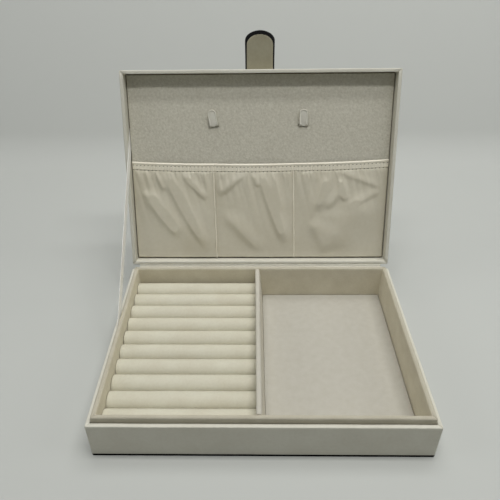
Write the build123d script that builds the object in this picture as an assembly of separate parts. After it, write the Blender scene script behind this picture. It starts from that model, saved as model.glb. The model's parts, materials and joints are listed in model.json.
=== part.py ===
from build123d import *
import math
import os

# A flat jewelry box, open as on a shop table. Millimetres, +Z up, +X to the right, the front at -Y.
# The origin is the centre of the underside. The lid is drawn shut and then turned to its open rest.

# Overall sizes
box_width = 250.0
box_depth = 182.0
wall_height = 31.6          # leatherette side of the base, above the bottom cover
lid_depth = 16.5            # from the lid's rim to its outer face
open_angle = 107.5          # turn from shut to the rest pose, where the stay ribbon is tight
rim_gap = 0.3               # between the two rims when shut

# Leatherette shell of base and lid
wrap_thickness = 0.5
wall_board_thickness = 2.2
bottom_board_thickness = 2.5
top_board_thickness = 3.0
base_turn_in = 14.0         # how far the wrap runs down inside the base walls
corner_round = 1.0
rim_round = 0.8
cover_thickness = 2.0
cover_inset = 0.3
cover_corner = 4.0

# Tray in the base
tray_gap = 0.5              # between tray and walls, where the stay ribbon goes down
tray_rise = 5.1             # tray lip above the rim
tray_board_thickness = 2.3
velvet_thickness = 0.6
lip_round = 1.4
tray_corner = 0.9
floor_card_thickness = 1.0
floor_gap = 0.5

# Divider
divider_x = -2.7            # middle of its top
divider_lean = 3.2          # by which its foot stands to the right of its top
divider_board_thickness = 3.0
divider_cover_thickness = 0.7
divider_round = 1.6
divider_end_gap = 0.3

# Ring rolls
roll_count = 10
roll_gap = 0.15             # between neighbouring rolls
roll_row_gap = 2.0          # between the row and the tray's front and back
roll_end_gap = 0.4          # between a roll's ends and the compartment's sides
roll_end_round = 0.8
roll_flat = 0.25            # depth of the flat on which a roll rests
bed_thickness = 6.0
bed_gap = 0.4

# Lid lining panel
panel_board_thickness = 2.4
suede_thickness = 0.6
panel_gap = 0.8

# Pocket on the panel, measured from the lid's rear edge towards its front
pocket_bottom = 4.2
pocket_top = 98.6
pocket_side_inset = 0.1
pocket_cloth_thickness = 0.6
pocket_seat = 0.05          # cloth to suede along the seams
pocket_swell = 2.6          # how far each bay stands off the panel at the top
pocket_foot_swell = 0.3     # and at the bottom
gather_pitch = 8.5          # width of one gather below the hem
gather_depth = 0.45         # rise and fall of a gather at the hem
gather_foot_depth = 0.06    # and where it has run out
gather_reach = 42.0         # how far the gathers run down from the hem
left_seam_x = -43.5
right_seam_x = 32.8
hem_height = 8.3
hem_thickness = 1.4
elastic_height = 4.0
elastic_thickness = 0.5
elastic_play = 0.08
piping_radius = 0.6

# Necklace hooks
hook_xs = (-42.6, 40.1)
hook_slit = 131.6           # from the lid's rear edge
hook_length = 13.7
hook_width = 7.7
hook_thickness = 1.4
hook_standoff = 1.3
hook_slit_play = 0.1
hook_root_depth = 2.0       # into the panel
hook_turns = (8.4, 0.0)     # degrees by which each hook sits askew

# Closing tab
tab_root_width = 25.6
tab_tip_width = 27.0
tab_tip_flat = 7.0          # straight part of the tip between its round corners
tab_outer_thickness = 1.1
tab_lining_thickness = 0.9
tab_border = 1.5            # black edge beside the lining
tab_tip_border = 2.6
tab_clearance = 0.3         # from the folded tab to the front walls, and from tab to anchor
anchor_length = 28.0
magnet_diameter = 11.0
magnet_thickness = 0.8
magnet_edge = 2.0           # from the magnet to the tab's tip
magnet_play = 0.05
plate_size = 14.0
plate_thickness = 0.8
plate_drop = 2.6            # from the base's rim to the plate
plate_play = 0.1

# Leatherette hinge strip across the back
hinge_setback = 2.3         # fold line behind the rear faces
strip_thickness = 0.5
strip_leg = 9.0             # glued height on each rear face
strip_end_gap = 7.0         # from the strip's ends to the side faces

# Stay ribbon on the left side
ribbon_width = 10.0
ribbon_thickness = 0.3
ribbon_side_play = 0.1      # to the wall's inner face
ribbon_lid_reach = 117.0    # lid's rear edge to where the ribbon leaves the lid
ribbon_base_reach = 82.0    # rear face to where the ribbon leaves the base
ribbon_tail = 14.0          # glued length below the rim
ribbon_top_play = 0.2       # ribbon's end to the lid's top board

# Levels and half sizes that follow from these
half_width = box_width / 2
half_depth = box_depth / 2
wall_thickness = wall_board_thickness + 2 * wrap_thickness
base_bottom = cover_thickness
rim_level = base_bottom + wall_height
floor_level = base_bottom + bottom_board_thickness
tray_top = rim_level + tray_rise
tray_wall = tray_board_thickness + 2 * velvet_thickness
tray_inset = wall_thickness + tray_gap
inner_half_width = half_width - tray_inset - tray_wall
inner_half_depth = half_depth - tray_inset - tray_wall
divider_width = divider_board_thickness + 2 * divider_cover_thickness
lid_rim = rim_level + rim_gap
lid_top = lid_rim + lid_depth
top_board_under = lid_top - wrap_thickness - top_board_thickness
panel_face = top_board_under - panel_board_thickness - suede_thickness
panel_half_width = half_width - wall_thickness - panel_gap
hinge_y = half_depth + hinge_setback
hinge_z = rim_level + rim_gap / 2
fold_y = -half_depth - tab_clearance
fold_z = lid_top - tab_lining_thickness
plate_centre = rim_level - plate_drop - plate_size / 2
magnet_reach = fold_z - plate_centre
tab_length = magnet_reach + magnet_diameter / 2 + magnet_edge
cut_margin = 1.0            # by which a cutting solid runs past what it cuts

nodes = {}


def block(x, y, z):
    """Solid box between pairs of limits along X, Y and Z."""
    spans = (x, y, z)
    place = Pos(*((low + high) / 2 for low, high in spans))
    return place * Box(*(high - low for low, high in spans))


def centred(inset, z):
    """Box centred on Z, its sides in from the outer walls by inset, between two heights."""
    return block((inset - half_width, half_width - inset), (inset - half_depth, half_depth - inset), z)


def frame(outer_inset, inner_inset, z):
    """Four-sided ring between two insets from the outer walls."""
    low, high = z
    return centred(outer_inset, z) - centred(inner_inset, (low - cut_margin, high + cut_margin))


def upright_edges(solid):
    """Vertical edges of a solid."""
    return solid.edges().filter_by(Axis.Z)


def wall_boards(name, inset, thickness, z):
    """Four boards of a wall: front and back run through, left and right stand between them."""
    x_out, y_out = half_width - inset, half_depth - inset
    x_in, y_in = x_out - thickness, y_out - thickness
    nodes[name + "_front_board"] = block((-x_out, x_out), (-y_out, -y_in), z)
    nodes[name + "_back_board"] = block((-x_out, x_out), (y_in, y_out), z)
    nodes[name + "_left_board"] = block((-x_out, -x_in), (-y_in, y_in), z)
    nodes[name + "_right_board"] = block((x_in, x_out), (-y_in, y_in), z)


def opened(solid):
    """A lid piece drawn shut, turned to the open rest pose."""
    return solid.rotate(Axis((0, hinge_y, hinge_z), (1, 0, 0)), -open_angle)


def from_rear(distance):
    """Y of a point on the shut lid, measured from its rear edge."""
    return half_depth - distance


def base_shell():
    """Bottom cover, boards and leatherette wrap of the base."""
    cover = centred(cover_inset, (0, cover_thickness))
    nodes["bottom_cover"] = fillet(upright_edges(cover), cover_corner)
    board_inset = wrap_thickness + wall_board_thickness
    nodes["base_bottom_board"] = centred(board_inset, (base_bottom, floor_level))
    board_top = rim_level - wrap_thickness
    wall_boards("base", wrap_thickness, wall_board_thickness, (base_bottom, board_top))
    outer = centred(0, (base_bottom, rim_level))
    outer = fillet(upright_edges(outer), corner_round)
    outer = fillet(outer.faces().sort_by(Axis.Z)[-1].edges(), rim_round)
    wrap = outer - centred(wall_thickness, (base_bottom - cut_margin, rim_level + cut_margin))
    wrap -= frame(wrap_thickness, board_inset, (base_bottom, board_top))
    skin_end = rim_level - base_turn_in
    wrap -= frame(board_inset, wall_thickness, (base_bottom, skin_end))
    nodes["base_wrap"] = wrap


def closure_plate():
    """Steel plate let into the front board, behind the wrap, where the tab's magnet lands."""
    low = plate_centre - plate_size / 2
    front = wrap_thickness - half_depth
    x = (-plate_size / 2, plate_size / 2)
    z = (low, low + plate_size)
    pocket = block(
        (x[0] - plate_play, x[1] + plate_play),
        (front - cut_margin, front + plate_thickness + plate_play),
        (z[0] - plate_play, z[1] + plate_play),
    )
    nodes["closure_plate"] = block(x, (front, front + plate_thickness), z)
    nodes["base_front_board"] -= pocket


def tray():
    """Velvet tray: four boards under one lining, the floor card and its velvet."""
    outer = centred(tray_inset, (floor_level, tray_top))
    outer = fillet(upright_edges(outer), tray_corner)
    lining = outer - centred(tray_inset + tray_wall, (floor_level - cut_margin, tray_top + cut_margin))
    lining = fillet(lining.faces().sort_by(Axis.Z)[-1].edges(), lip_round)
    board_inset = tray_inset + velvet_thickness
    board_z = (floor_level, tray_top - velvet_thickness)
    nodes["tray_lining"] = lining - frame(board_inset, board_inset + tray_board_thickness, board_z)
    wall_boards("tray", board_inset, tray_board_thickness, board_z)
    x = (divider_x + divider_lean + divider_width / 2 + floor_gap, inner_half_width - floor_gap)
    y = (floor_gap - inner_half_depth, inner_half_depth - floor_gap)
    card_top = floor_level + floor_card_thickness
    card = block(
        (x[0] + velvet_thickness, x[1] - velvet_thickness),
        (y[0] + velvet_thickness, y[1] - velvet_thickness),
        (floor_level, card_top),
    )
    nodes["floor_card"] = card
    nodes["floor_velvet"] = block(x, y, (floor_level, card_top + velvet_thickness)) - card


def divider_wall(width, top):
    """Leaning wall between the tray's front and back, from the floor up to a level."""
    y = divider_end_gap - inner_half_depth
    corners = []
    for z, side in ((floor_level, -1), (floor_level, 1), (top, 1), (top, -1)):
        middle = divider_x + divider_lean * (tray_top - z) / (tray_top - floor_level)
        corners.append((middle + side * width / 2, y, z))
    return extrude(make_face(Polyline(*corners, close=True)), -2 * y, dir=(0, 1, 0))


def divider():
    """Leaning board between the two compartments under a cover with a rounded top."""
    cover = divider_wall(divider_width, tray_top)
    top = cover.faces().sort_by(Axis.Z)[-1]
    cover = fillet(top.edges().filter_by(Axis.Y), divider_round)
    core = divider_wall(divider_board_thickness, tray_top - divider_cover_thickness)
    nodes["divider_board"] = core
    nodes["divider_cover"] = cover - core


def ring_rolls():
    """Soft rolls side by side on a foam bed in the left compartment."""
    x = (roll_end_gap - inner_half_width, divider_x - divider_width / 2 - roll_end_gap)
    bed_side = bed_gap - roll_end_gap
    bed_top = floor_level + bed_thickness
    bed_y = inner_half_depth - bed_gap
    nodes["roll_bed"] = block((x[0] + bed_side, x[1] - bed_side), (-bed_y, bed_y), (floor_level, bed_top))
    row = 2 * (inner_half_depth - roll_row_gap)
    diameter = (row - (roll_count - 1) * roll_gap) / roll_count
    axis_level = bed_top + diameter / 2 - roll_flat
    for index in range(roll_count):
        y = roll_row_gap - inner_half_depth + diameter / 2 + index * (diameter + roll_gap)
        roll = Pos(sum(x) / 2, y, axis_level) * Rot(0, 90, 0) * Cylinder(diameter / 2, x[1] - x[0])
        roll = fillet(roll.edges().filter_by(GeomType.CIRCLE), roll_end_round)
        under = block(x, (y - diameter, y + diameter), (bed_top - diameter, bed_top))
        nodes[f"ring_roll_{index + 1:02d}"] = roll - under


def lid_shell():
    """Boards and leatherette wrap of the lid, drawn shut."""
    board_inset = wrap_thickness + wall_board_thickness
    board_z = (lid_rim + wrap_thickness, top_board_under)
    nodes["lid_top_board"] = centred(wrap_thickness, (top_board_under, lid_top - wrap_thickness))
    wall_boards("lid", wrap_thickness, wall_board_thickness, board_z)
    outer = centred(0, (lid_rim, lid_top))
    outer = fillet(upright_edges(outer), corner_round)
    outer = fillet(outer.faces().sort_by(Axis.Z)[-1].edges(), rim_round)
    outer = fillet(outer.faces().sort_by(Axis.Z)[0].edges(), rim_round)
    wrap = outer - centred(wall_thickness, (lid_rim - cut_margin, top_board_under))
    wrap -= frame(wrap_thickness, board_inset, board_z)
    nodes["lid_wrap"] = wrap - nodes["lid_top_board"]


def askew(solid, hook_x, turn):
    """A hook or its slit, turned about the slit's middle, counter-clockwise as seen on the open lid."""
    return solid.rotate(Axis((hook_x, from_rear(hook_slit), 0), (0, 0, 1)), -turn)


def lid_panel():
    """Suede-covered card that lines the lid, with a slit for each necklace hook."""
    suede_inset = wall_thickness + panel_gap
    board = centred(suede_inset + suede_thickness, (panel_face + suede_thickness, top_board_under))
    suede = centred(suede_inset, (panel_face, top_board_under)) - board
    for hook_x, turn in zip(hook_xs, hook_turns):
        half = hook_width / 2 + hook_slit_play
        slit = block(
            (hook_x - half, hook_x + half),
            (from_rear(hook_slit + hook_thickness + hook_slit_play), from_rear(hook_slit - hook_slit_play)),
            (panel_face - cut_margin, panel_face + hook_root_depth + hook_slit_play),
        )
        slit = askew(slit, hook_x, turn)
        board -= slit
        suede -= slit
    nodes["lid_panel_board"] = board
    nodes["lid_panel_suede"] = suede


def necklace_hooks():
    """Cloth tongues that come out of the slits and stand off the suede towards the lid's front."""
    for side, hook_x, turn in zip(("left", "right"), hook_xs, hook_turns):
        half = hook_width / 2
        foot, tip = from_rear(hook_slit), from_rear(hook_slit + hook_length)
        face = panel_face - hook_standoff
        tongue = block((hook_x - half, hook_x + half), (tip, foot), (face - hook_thickness, face))
        tip_edges = upright_edges(tongue).sort_by(Axis.Y)[:2]
        tongue = fillet(tip_edges, half - hook_slit_play)
        root = block(
            (hook_x - half, hook_x + half),
            (from_rear(hook_slit + hook_thickness), foot),
            (face - hook_thickness, panel_face + hook_root_depth),
        )
        nodes["necklace_hook_" + side] = askew(tongue + root, hook_x, turn)


def bay_point(span, share, depth, level, y):
    """Point of one bay's curve at a share of its span; the curve is depth below level at the bay's middle."""
    start, end = span
    return (start + share * (end - start), y, level - depth * 4 * share * (1 - share))


def bay_line(swell, gather, level, y):
    """Curve over the three pocket bays: each bulges by swell, and its gathers rise and fall on that."""
    side = panel_half_width - pocket_side_inset
    stops = (-side, left_seam_x, right_seam_x, side)
    arcs = []
    for span in zip(stops, stops[1:]):
        count = 2 * round((span[1] - span[0]) / gather_pitch) if gather else 1
        for index in range(count):
            rise = gather if index % 2 else -gather
            shares = [(index + part) / count for part in (0, 0.5, 1)]
            depths = (swell, swell + rise, swell)
            points = [bay_point(span, share, depth, level, y) for share, depth in zip(shares, depths)]
            arcs.append(ThreePointArc(*points))
    return arcs


def bay_section(swell, gather, level, thickness, y):
    """Face of a cloth that follows the bays, with its thickness measured away from the panel."""
    side = panel_half_width - pocket_side_inset
    near = bay_line(swell, gather, level, y)
    far = bay_line(swell, gather, level - thickness, y)
    ends = [Line((x, y, level), (x, y, level - thickness)) for x in (-side, side)]
    return make_face(near + far + ends)


def pocket():
    """Cloth that opens towards the lid's front, its hem with an elastic, and two piped seams."""
    seat = panel_face - pocket_seat
    foot, top = from_rear(pocket_bottom), from_rear(pocket_top)
    hem_foot = top + hem_height
    gather_end = hem_foot + gather_reach
    end_share = gather_reach / (foot - hem_foot)
    end_swell = pocket_swell + (pocket_foot_swell - pocket_swell) * end_share
    cloth = loft(
        [
            bay_section(pocket_foot_swell, gather_foot_depth, seat, pocket_cloth_thickness, foot),
            bay_section(end_swell, gather_foot_depth, seat, pocket_cloth_thickness, gather_end),
            bay_section(pocket_swell, gather_depth, seat, pocket_cloth_thickness, hem_foot),
        ],
        ruled=True,
    )
    nodes["pocket_cloth"] = cloth
    hem = extrude(bay_section(pocket_swell, 0, seat, hem_thickness, hem_foot), hem_height, dir=(0, -1, 0))
    channel_thickness = elastic_thickness + 2 * elastic_play
    channel_level = seat - (hem_thickness - channel_thickness) / 2
    channel_foot = hem_foot - (hem_height - elastic_height) / 2 + elastic_play
    channel = extrude(
        bay_section(pocket_swell, 0, channel_level, channel_thickness, channel_foot),
        elastic_height + 2 * elastic_play,
        dir=(0, -1, 0),
    )
    nodes["pocket_hem"] = hem - channel
    nodes["pocket_elastic"] = extrude(
        bay_section(
            pocket_swell, 0, channel_level - elastic_play, elastic_thickness, channel_foot - elastic_play
        ),
        elastic_height,
        dir=(0, -1, 0),
    )
    piping_level = seat - pocket_cloth_thickness - pocket_seat - piping_radius
    for side, x in (("left", left_seam_x), ("right", right_seam_x)):
        place = Pos(x, (foot + hem_foot) / 2, piping_level) * Rot(90, 0, 0)
        nodes["pocket_seam_" + side] = place * Cylinder(piping_radius, foot - hem_foot)


def tab_outline(root_width, tip_width, tip_y, level):
    """Face of a tab from the fold to a rounded tip."""
    root, tip = root_width / 2, tip_width / 2
    corners = [(-root, fold_y), (root, fold_y), (tip, tip_y), (-tip, tip_y)]
    face = Pos(0, 0, level) * make_face(Polyline(*corners, close=True))
    tip_points = face.vertices().sort_by(Axis.Y)[:2]
    return fillet(tip_points, (tip_width - tab_tip_flat) / 2)


def closing_tab():
    """Two-layer tab with a magnet, drawn straight out from the lid, and its glued anchor."""
    tip_y = fold_y - tab_length
    outer = extrude(tab_outline(tab_root_width, tab_tip_width, tip_y, lid_top), tab_outer_thickness)
    lining = extrude(
        tab_outline(
            tab_root_width - 2 * tab_border, tab_tip_width - 2 * tab_border, tip_y + tab_tip_border, fold_z
        ),
        tab_lining_thickness,
    )
    magnet_place = Pos(0, fold_y - magnet_reach, lid_top + magnet_thickness / 2)
    magnet = magnet_place * Cylinder(magnet_diameter / 2, magnet_thickness)
    seat = magnet_place * Cylinder(magnet_diameter / 2 + magnet_play, magnet_thickness + 2 * magnet_play)
    nodes["tab_outer"] = outer - seat
    nodes["tab_lining"] = lining
    nodes["tab_magnet"] = magnet
    half = tab_root_width / 2
    anchor = block(
        (-half, half), (-half_depth, anchor_length - half_depth), (lid_top, lid_top + tab_outer_thickness)
    )
    inner_end = upright_edges(anchor).sort_by(Axis.Y)[-2:]
    nodes["tab_anchor"] = fillet(inner_end, (tab_root_width - tab_tip_flat) / 2)


def hinge_strip():
    """Two halves of the strip that joins base and lid, each glued to a rear face and run out to the fold."""
    x = (strip_end_gap - half_width, half_width - strip_end_gap)
    for body, rim, side in (("base", rim_level, -1), ("lid", lid_rim, 1)):
        leg = block(x, (half_depth, half_depth + strip_thickness), sorted((rim, rim + side * strip_leg)))
        flap = block(x, (half_depth, hinge_y), sorted((rim, rim + side * strip_thickness)))
        nodes["hinge_strip_" + body] = leg + flap


def stay_ribbon():
    """Ribbon in the gap beside the tray and beside the lid's panel, tight in the open rest pose."""
    turn = math.radians(open_angle)
    rear, up = from_rear(ribbon_lid_reach) - hinge_y, panel_face - hinge_z
    lid_point = Vector(
        0,
        hinge_y + rear * math.cos(turn) + up * math.sin(turn),
        hinge_z - rear * math.sin(turn) + up * math.cos(turn),
    )
    base_point = Vector(0, from_rear(ribbon_base_reach), rim_level)
    along = (lid_point - base_point).normalized()
    across = Vector(0, -along.Z, along.Y) * (ribbon_width / 2)
    start = base_point - along * ribbon_tail
    end = lid_point + along * lid_depth * 2
    corners = [start - across, start + across, end + across, end - across]
    wall_face = wall_thickness - half_width
    x = wall_face + ribbon_side_play
    face = make_face(Polyline(*((x, corner.Y, corner.Z) for corner in corners), close=True))
    strip = extrude(face, ribbon_thickness, dir=(1, 0, 0))
    stop_level = top_board_under - ribbon_top_play
    lid_block = centred(-box_depth, (stop_level, stop_level + box_depth))
    nodes["stay_ribbon"] = strip - opened(lid_block)


def build():
    """Draws every piece, opens the lid and writes one file per piece."""
    base_shell()
    closure_plate()
    tray()
    divider()
    ring_rolls()
    lid_shell()
    lid_panel()
    necklace_hooks()
    pocket()
    closing_tab()
    hinge_strip()
    stay_ribbon()
    moving = ("lid_", "pocket_", "necklace_", "tab_", "hinge_strip_lid")
    os.makedirs("parts", exist_ok=True)
    for name, solid in nodes.items():
        placed = opened(solid) if name.startswith(moving) else solid
        export_step(placed, f"parts/{name}.step")


build()
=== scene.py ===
"""Looks of a flat jewelry box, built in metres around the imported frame.

The box has a leatherette shell, a velvet tray with ring rolls, a lid with a gathered pocket and two
necklace hooks, a black closing tab, a leatherette hinge strip and a stay ribbon.
"""

import json
import logging
import math
from dataclasses import dataclass
from enum import Enum
from typing import Callable, Sequence

import bpy
import numpy as np
from mathutils import Matrix, Vector


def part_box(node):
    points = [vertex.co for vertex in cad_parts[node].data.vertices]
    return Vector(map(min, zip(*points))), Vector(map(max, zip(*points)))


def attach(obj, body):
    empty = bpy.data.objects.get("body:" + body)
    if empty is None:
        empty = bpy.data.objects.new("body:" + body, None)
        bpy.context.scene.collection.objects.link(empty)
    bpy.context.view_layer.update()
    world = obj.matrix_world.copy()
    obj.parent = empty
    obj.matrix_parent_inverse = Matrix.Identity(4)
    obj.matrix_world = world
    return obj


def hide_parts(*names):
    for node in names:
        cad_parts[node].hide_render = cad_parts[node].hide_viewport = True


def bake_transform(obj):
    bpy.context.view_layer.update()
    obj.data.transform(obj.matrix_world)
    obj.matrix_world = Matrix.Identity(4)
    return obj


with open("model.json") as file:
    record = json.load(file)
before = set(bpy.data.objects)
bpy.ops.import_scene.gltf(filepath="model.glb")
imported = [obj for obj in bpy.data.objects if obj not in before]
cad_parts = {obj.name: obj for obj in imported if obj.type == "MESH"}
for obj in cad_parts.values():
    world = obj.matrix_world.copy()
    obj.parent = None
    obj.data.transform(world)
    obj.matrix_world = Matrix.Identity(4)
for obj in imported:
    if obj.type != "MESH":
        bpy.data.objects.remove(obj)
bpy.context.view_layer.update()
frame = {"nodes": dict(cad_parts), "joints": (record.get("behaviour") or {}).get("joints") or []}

MM = 0.001
FULL_TURN = 2 * math.pi
LOG = logging.getLogger("jewelry_box")

Colour = tuple[float, float, float, float]
Piece = bpy.types.Object
Socket = bpy.types.NodeSocket
Sockets = bpy.types.bpy_prop_collection
Tree = bpy.types.NodeTree
Faces = list[tuple[int, ...]]


class Body(Enum):
    """Bodies of the frame that a piece can ride on."""

    BASE = "base"
    LID = "lid"
    TAB = "closing_tab"


class Side(Enum):
    """Left and right, as seen from the front."""

    LEFT = "left"
    RIGHT = "right"


class Effect(Enum):
    """Surface effects that several finishes share, each one shader group."""

    MOTTLE = "soft_mottle"
    NAP = "brushed_nap"
    GRAIN = "leather_grain"
    WEAVE = "plain_weave"
    # Painted shade on a lip that the lamps light from above.
    LIP_SHADE = "pressed_lip"


def tint(red: float, green: float, blue: float) -> Colour:
    """Linear colour of a display colour.

    Args:
        red: Red part, from 0 to 255.
        green: Green part, from 0 to 255.
        blue: Blue part, from 0 to 255.

    Returns:
        The colour as four linear parts, the last one opaque.
    """
    parts = np.array([red, green, blue]) / 255
    linear = np.where(parts <= 0.04045, parts / 12.92, ((parts + 0.055) / 1.055) ** 2.4)
    return (*map(float, linear), 1.0)


class NodeKit:
    """Adds and links the nodes of one tree."""

    def __init__(self, tree: Tree) -> None:
        """Keeps the tree that the nodes go to."""
        self.tree = tree

    def add(self, kind: str, inputs: dict | None = None, **settings: object) -> bpy.types.Node:
        """Adds one node.

        Args:
            kind: The node's type.
            inputs: Sockets by name or place, each with a constant or with the socket that feeds it.
            settings: The node's own properties.

        Returns:
            The new node.
        """
        node = self.tree.nodes.new(kind)
        for name, value in settings.items():
            setattr(node, name, value)
        for key, value in (inputs or {}).items():
            if isinstance(value, Socket):
                self.tree.links.new(value, node.inputs[key])
            else:
                node.inputs[key].default_value = value
        return node

    def math(self, operation: str, *values: object) -> Socket:
        """One sum of up to three values or sockets.

        Args:
            operation: The Math node's operation.
            values: Constants or sockets.

        Returns:
            The socket that holds the result.
        """
        node = self.add("ShaderNodeMath", dict(enumerate(values)), operation=operation)
        return node.outputs[0]

    def noise(self, vector: Socket, scale: Socket | float, detail: float, distortion: float = 0.0) -> Socket:
        """Soft noise at a place, from 0 to 1."""
        inputs = {"Vector": vector, "Scale": scale, "Detail": detail, "Distortion": distortion}
        return self.add("ShaderNodeTexNoise", inputs).outputs[0]

    def mix(self, share: Socket, low: Socket | Colour, high: Socket | Colour) -> Socket:
        """Colour between two others, the second one where the share is 1."""
        return self.add("ShaderNodeMix", {0: share, 6: low, 7: high}, data_type="RGBA").outputs[2]

    def effect(self, effect: Effect, **inputs: object) -> bpy.types.Node:
        """Places a shared effect with its own values."""
        return self.add("ShaderNodeGroup", inputs, node_tree=effect_group(effect))


def new_tree(
    name: str, inputs: dict[str, str], outputs: dict[str, str], kind: str = "ShaderNodeTree"
) -> tuple[NodeKit, Sockets]:
    """Empty shader group or geometry tree with named sockets.

    Args:
        name: The tree's name.
        inputs: Kind of each input, by name.
        outputs: Kind of each output, by name.
        kind: Kind of tree.

    Returns:
        The tree's kit, and the sockets that hold its inputs.
    """
    tree = bpy.data.node_groups.new(name, kind)
    for way, sockets in (("INPUT", inputs), ("OUTPUT", outputs)):
        for label, value_kind in sockets.items():
            tree.interface.new_socket(label, in_out=way, socket_type="NodeSocket" + value_kind)
    kit = NodeKit(tree)
    return kit, kit.add("NodeGroupInput").outputs


def mottle_group(name: str) -> Tree:
    """Two tones that drift into each other in soft patches with a finer speckle.

    Args:
        name: The group's name.

    Returns:
        The group's tree.
    """
    fineness, patch_share = 9.0, 0.62
    sockets = {"Vector": "Vector", "Light": "Color", "Dark": "Color", "Size": "Float"}
    kit, given = new_tree(name, sockets, {"Color": "Color", "Value": "Float"})
    scale = kit.math("DIVIDE", 1.0, given["Size"])
    patch = kit.noise(given["Vector"], scale, detail=3.0)
    speckle = kit.noise(given["Vector"], kit.math("MULTIPLY", scale, fineness), detail=2.0)
    patches = kit.math("MULTIPLY", patch, patch_share)
    both = kit.math("MULTIPLY_ADD", speckle, 1 - patch_share, patches)
    spread = kit.add("ShaderNodeMapRange", {"Value": both, "From Min": 0.34, "From Max": 0.66}).outputs[0]
    kit.add("NodeGroupOutput", {"Color": kit.mix(spread, given["Dark"], given["Light"]), "Value": spread})
    return kit.tree


def nap_group(name: str) -> Tree:
    """Short fibres, and the larger strokes in which a pile has been brushed.

    Args:
        name: The group's name.

    Returns:
        The group's tree.
    """
    fibre_share = 0.55
    sockets = {"Vector": "Vector", "Fibre": "Float", "Brush": "Float"}
    kit, given = new_tree(name, sockets, {"Height": "Float"})
    fibre_scale = kit.math("DIVIDE", 1.0, given["Fibre"])
    brush_scale = kit.math("DIVIDE", 1.0, given["Brush"])
    fibre = kit.noise(given["Vector"], fibre_scale, detail=3.0)
    stroke = kit.noise(given["Vector"], brush_scale, detail=4.0, distortion=0.8)
    strokes = kit.math("MULTIPLY", stroke, 1 - fibre_share)
    height = kit.math("MULTIPLY_ADD", fibre, fibre_share, strokes)
    kit.add("NodeGroupOutput", {"Height": height})
    return kit.tree


def grain_group(name: str) -> Tree:
    """Pebbled cells with fine valleys between them.

    Args:
        name: The group's name.

    Returns:
        The group's tree.
    """
    cell_share = 0.6
    sockets = {"Vector": "Vector", "Size": "Float"}
    kit, given = new_tree(name, sockets, {"Height": "Float"})
    scale = kit.math("DIVIDE", 1.0, given["Size"])
    wobble = kit.noise(given["Vector"], scale, detail=2.0)
    cells = kit.add(
        "ShaderNodeTexVoronoi",
        {"Vector": given["Vector"], "Scale": scale},
        feature="DISTANCE_TO_EDGE",
    )
    valley = kit.add("ShaderNodeMapRange", {"Value": cells.outputs["Distance"], "From Max": 0.22})
    rough = kit.math("MULTIPLY", wobble, 1 - cell_share)
    height = kit.math("MULTIPLY_ADD", valley.outputs[0], cell_share, rough)
    kit.add("NodeGroupOutput", {"Height": height})
    return kit.tree


def weave_group(name: str) -> Tree:
    """Threads that cross over and under, along the two ways of a flat cloth map.

    Args:
        name: The group's name.

    Returns:
        The group's tree.
    """
    slubs_per_thread, slub_share = 0.05, 0.6
    sockets = {"Vector": "Vector", "Thread": "Float"}
    kit, given = new_tree(name, sockets, {"Height": "Float"})
    ways = kit.add("ShaderNodeSeparateXYZ", {0: given["Vector"]})
    turn = kit.math("DIVIDE", math.pi, given["Thread"])
    warp = kit.math("SINE", kit.math("MULTIPLY", ways.outputs["X"], turn))
    weft = kit.math("SINE", kit.math("MULTIPLY", ways.outputs["Y"], turn))
    crossing = kit.math("ABSOLUTE", kit.math("MULTIPLY", warp, weft))
    slub_scale = kit.math("DIVIDE", slubs_per_thread, given["Thread"])
    slub = kit.noise(given["Vector"], slub_scale, detail=3.0)
    height = kit.math("MULTIPLY_ADD", slub, slub_share, crossing)
    kit.add("NodeGroupOutput", {"Height": height})
    return kit.tree


def lip_shade_group(name: str) -> Tree:
    """Painted shade: tone that falls to a share of itself outside a box about the origin, darkening a lip
    that the lamps light from above.

    Args:
        name: The group's name.

    Returns:
        The group's tree.
    """
    soft_edge = 0.8 * MM
    sockets = {"Vector": "Vector", "Color": "Color", "Inside": "Vector", "Share": "Float"}
    kit, given = new_tree(name, sockets, {"Color": "Color"})
    place = kit.add("ShaderNodeVectorMath", {0: given["Vector"]}, operation="ABSOLUTE")
    past = kit.add("ShaderNodeVectorMath", {0: place.outputs[0], 1: given["Inside"]}, operation="SUBTRACT")
    ways = kit.add("ShaderNodeSeparateXYZ", {0: past.outputs[0]}).outputs
    furthest = kit.math("MAXIMUM", kit.math("MAXIMUM", ways["X"], ways["Y"]), ways["Z"])
    mask = kit.add("ShaderNodeMapRange", {"Value": furthest, "From Max": soft_edge})
    # Painted shade: the tone scaled down by the share.
    painted_shade = kit.add("ShaderNodeVectorMath", {0: given["Color"], "Scale": given["Share"]}, operation="SCALE")
    kit.add("NodeGroupOutput", {"Color": kit.mix(mask.outputs[0], given["Color"], painted_shade.outputs[0])})
    return kit.tree


EFFECT_BUILDERS: dict[Effect, Callable[[str], Tree]] = {
    Effect.MOTTLE: mottle_group,
    Effect.NAP: nap_group,
    Effect.GRAIN: grain_group,
    Effect.WEAVE: weave_group,
    Effect.LIP_SHADE: lip_shade_group,
}


def effect_group(effect: Effect) -> Tree:
    """The shader group of an effect, built when it is first asked for."""
    return bpy.data.node_groups.get(effect.value) or EFFECT_BUILDERS[effect](effect.value)


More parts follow.
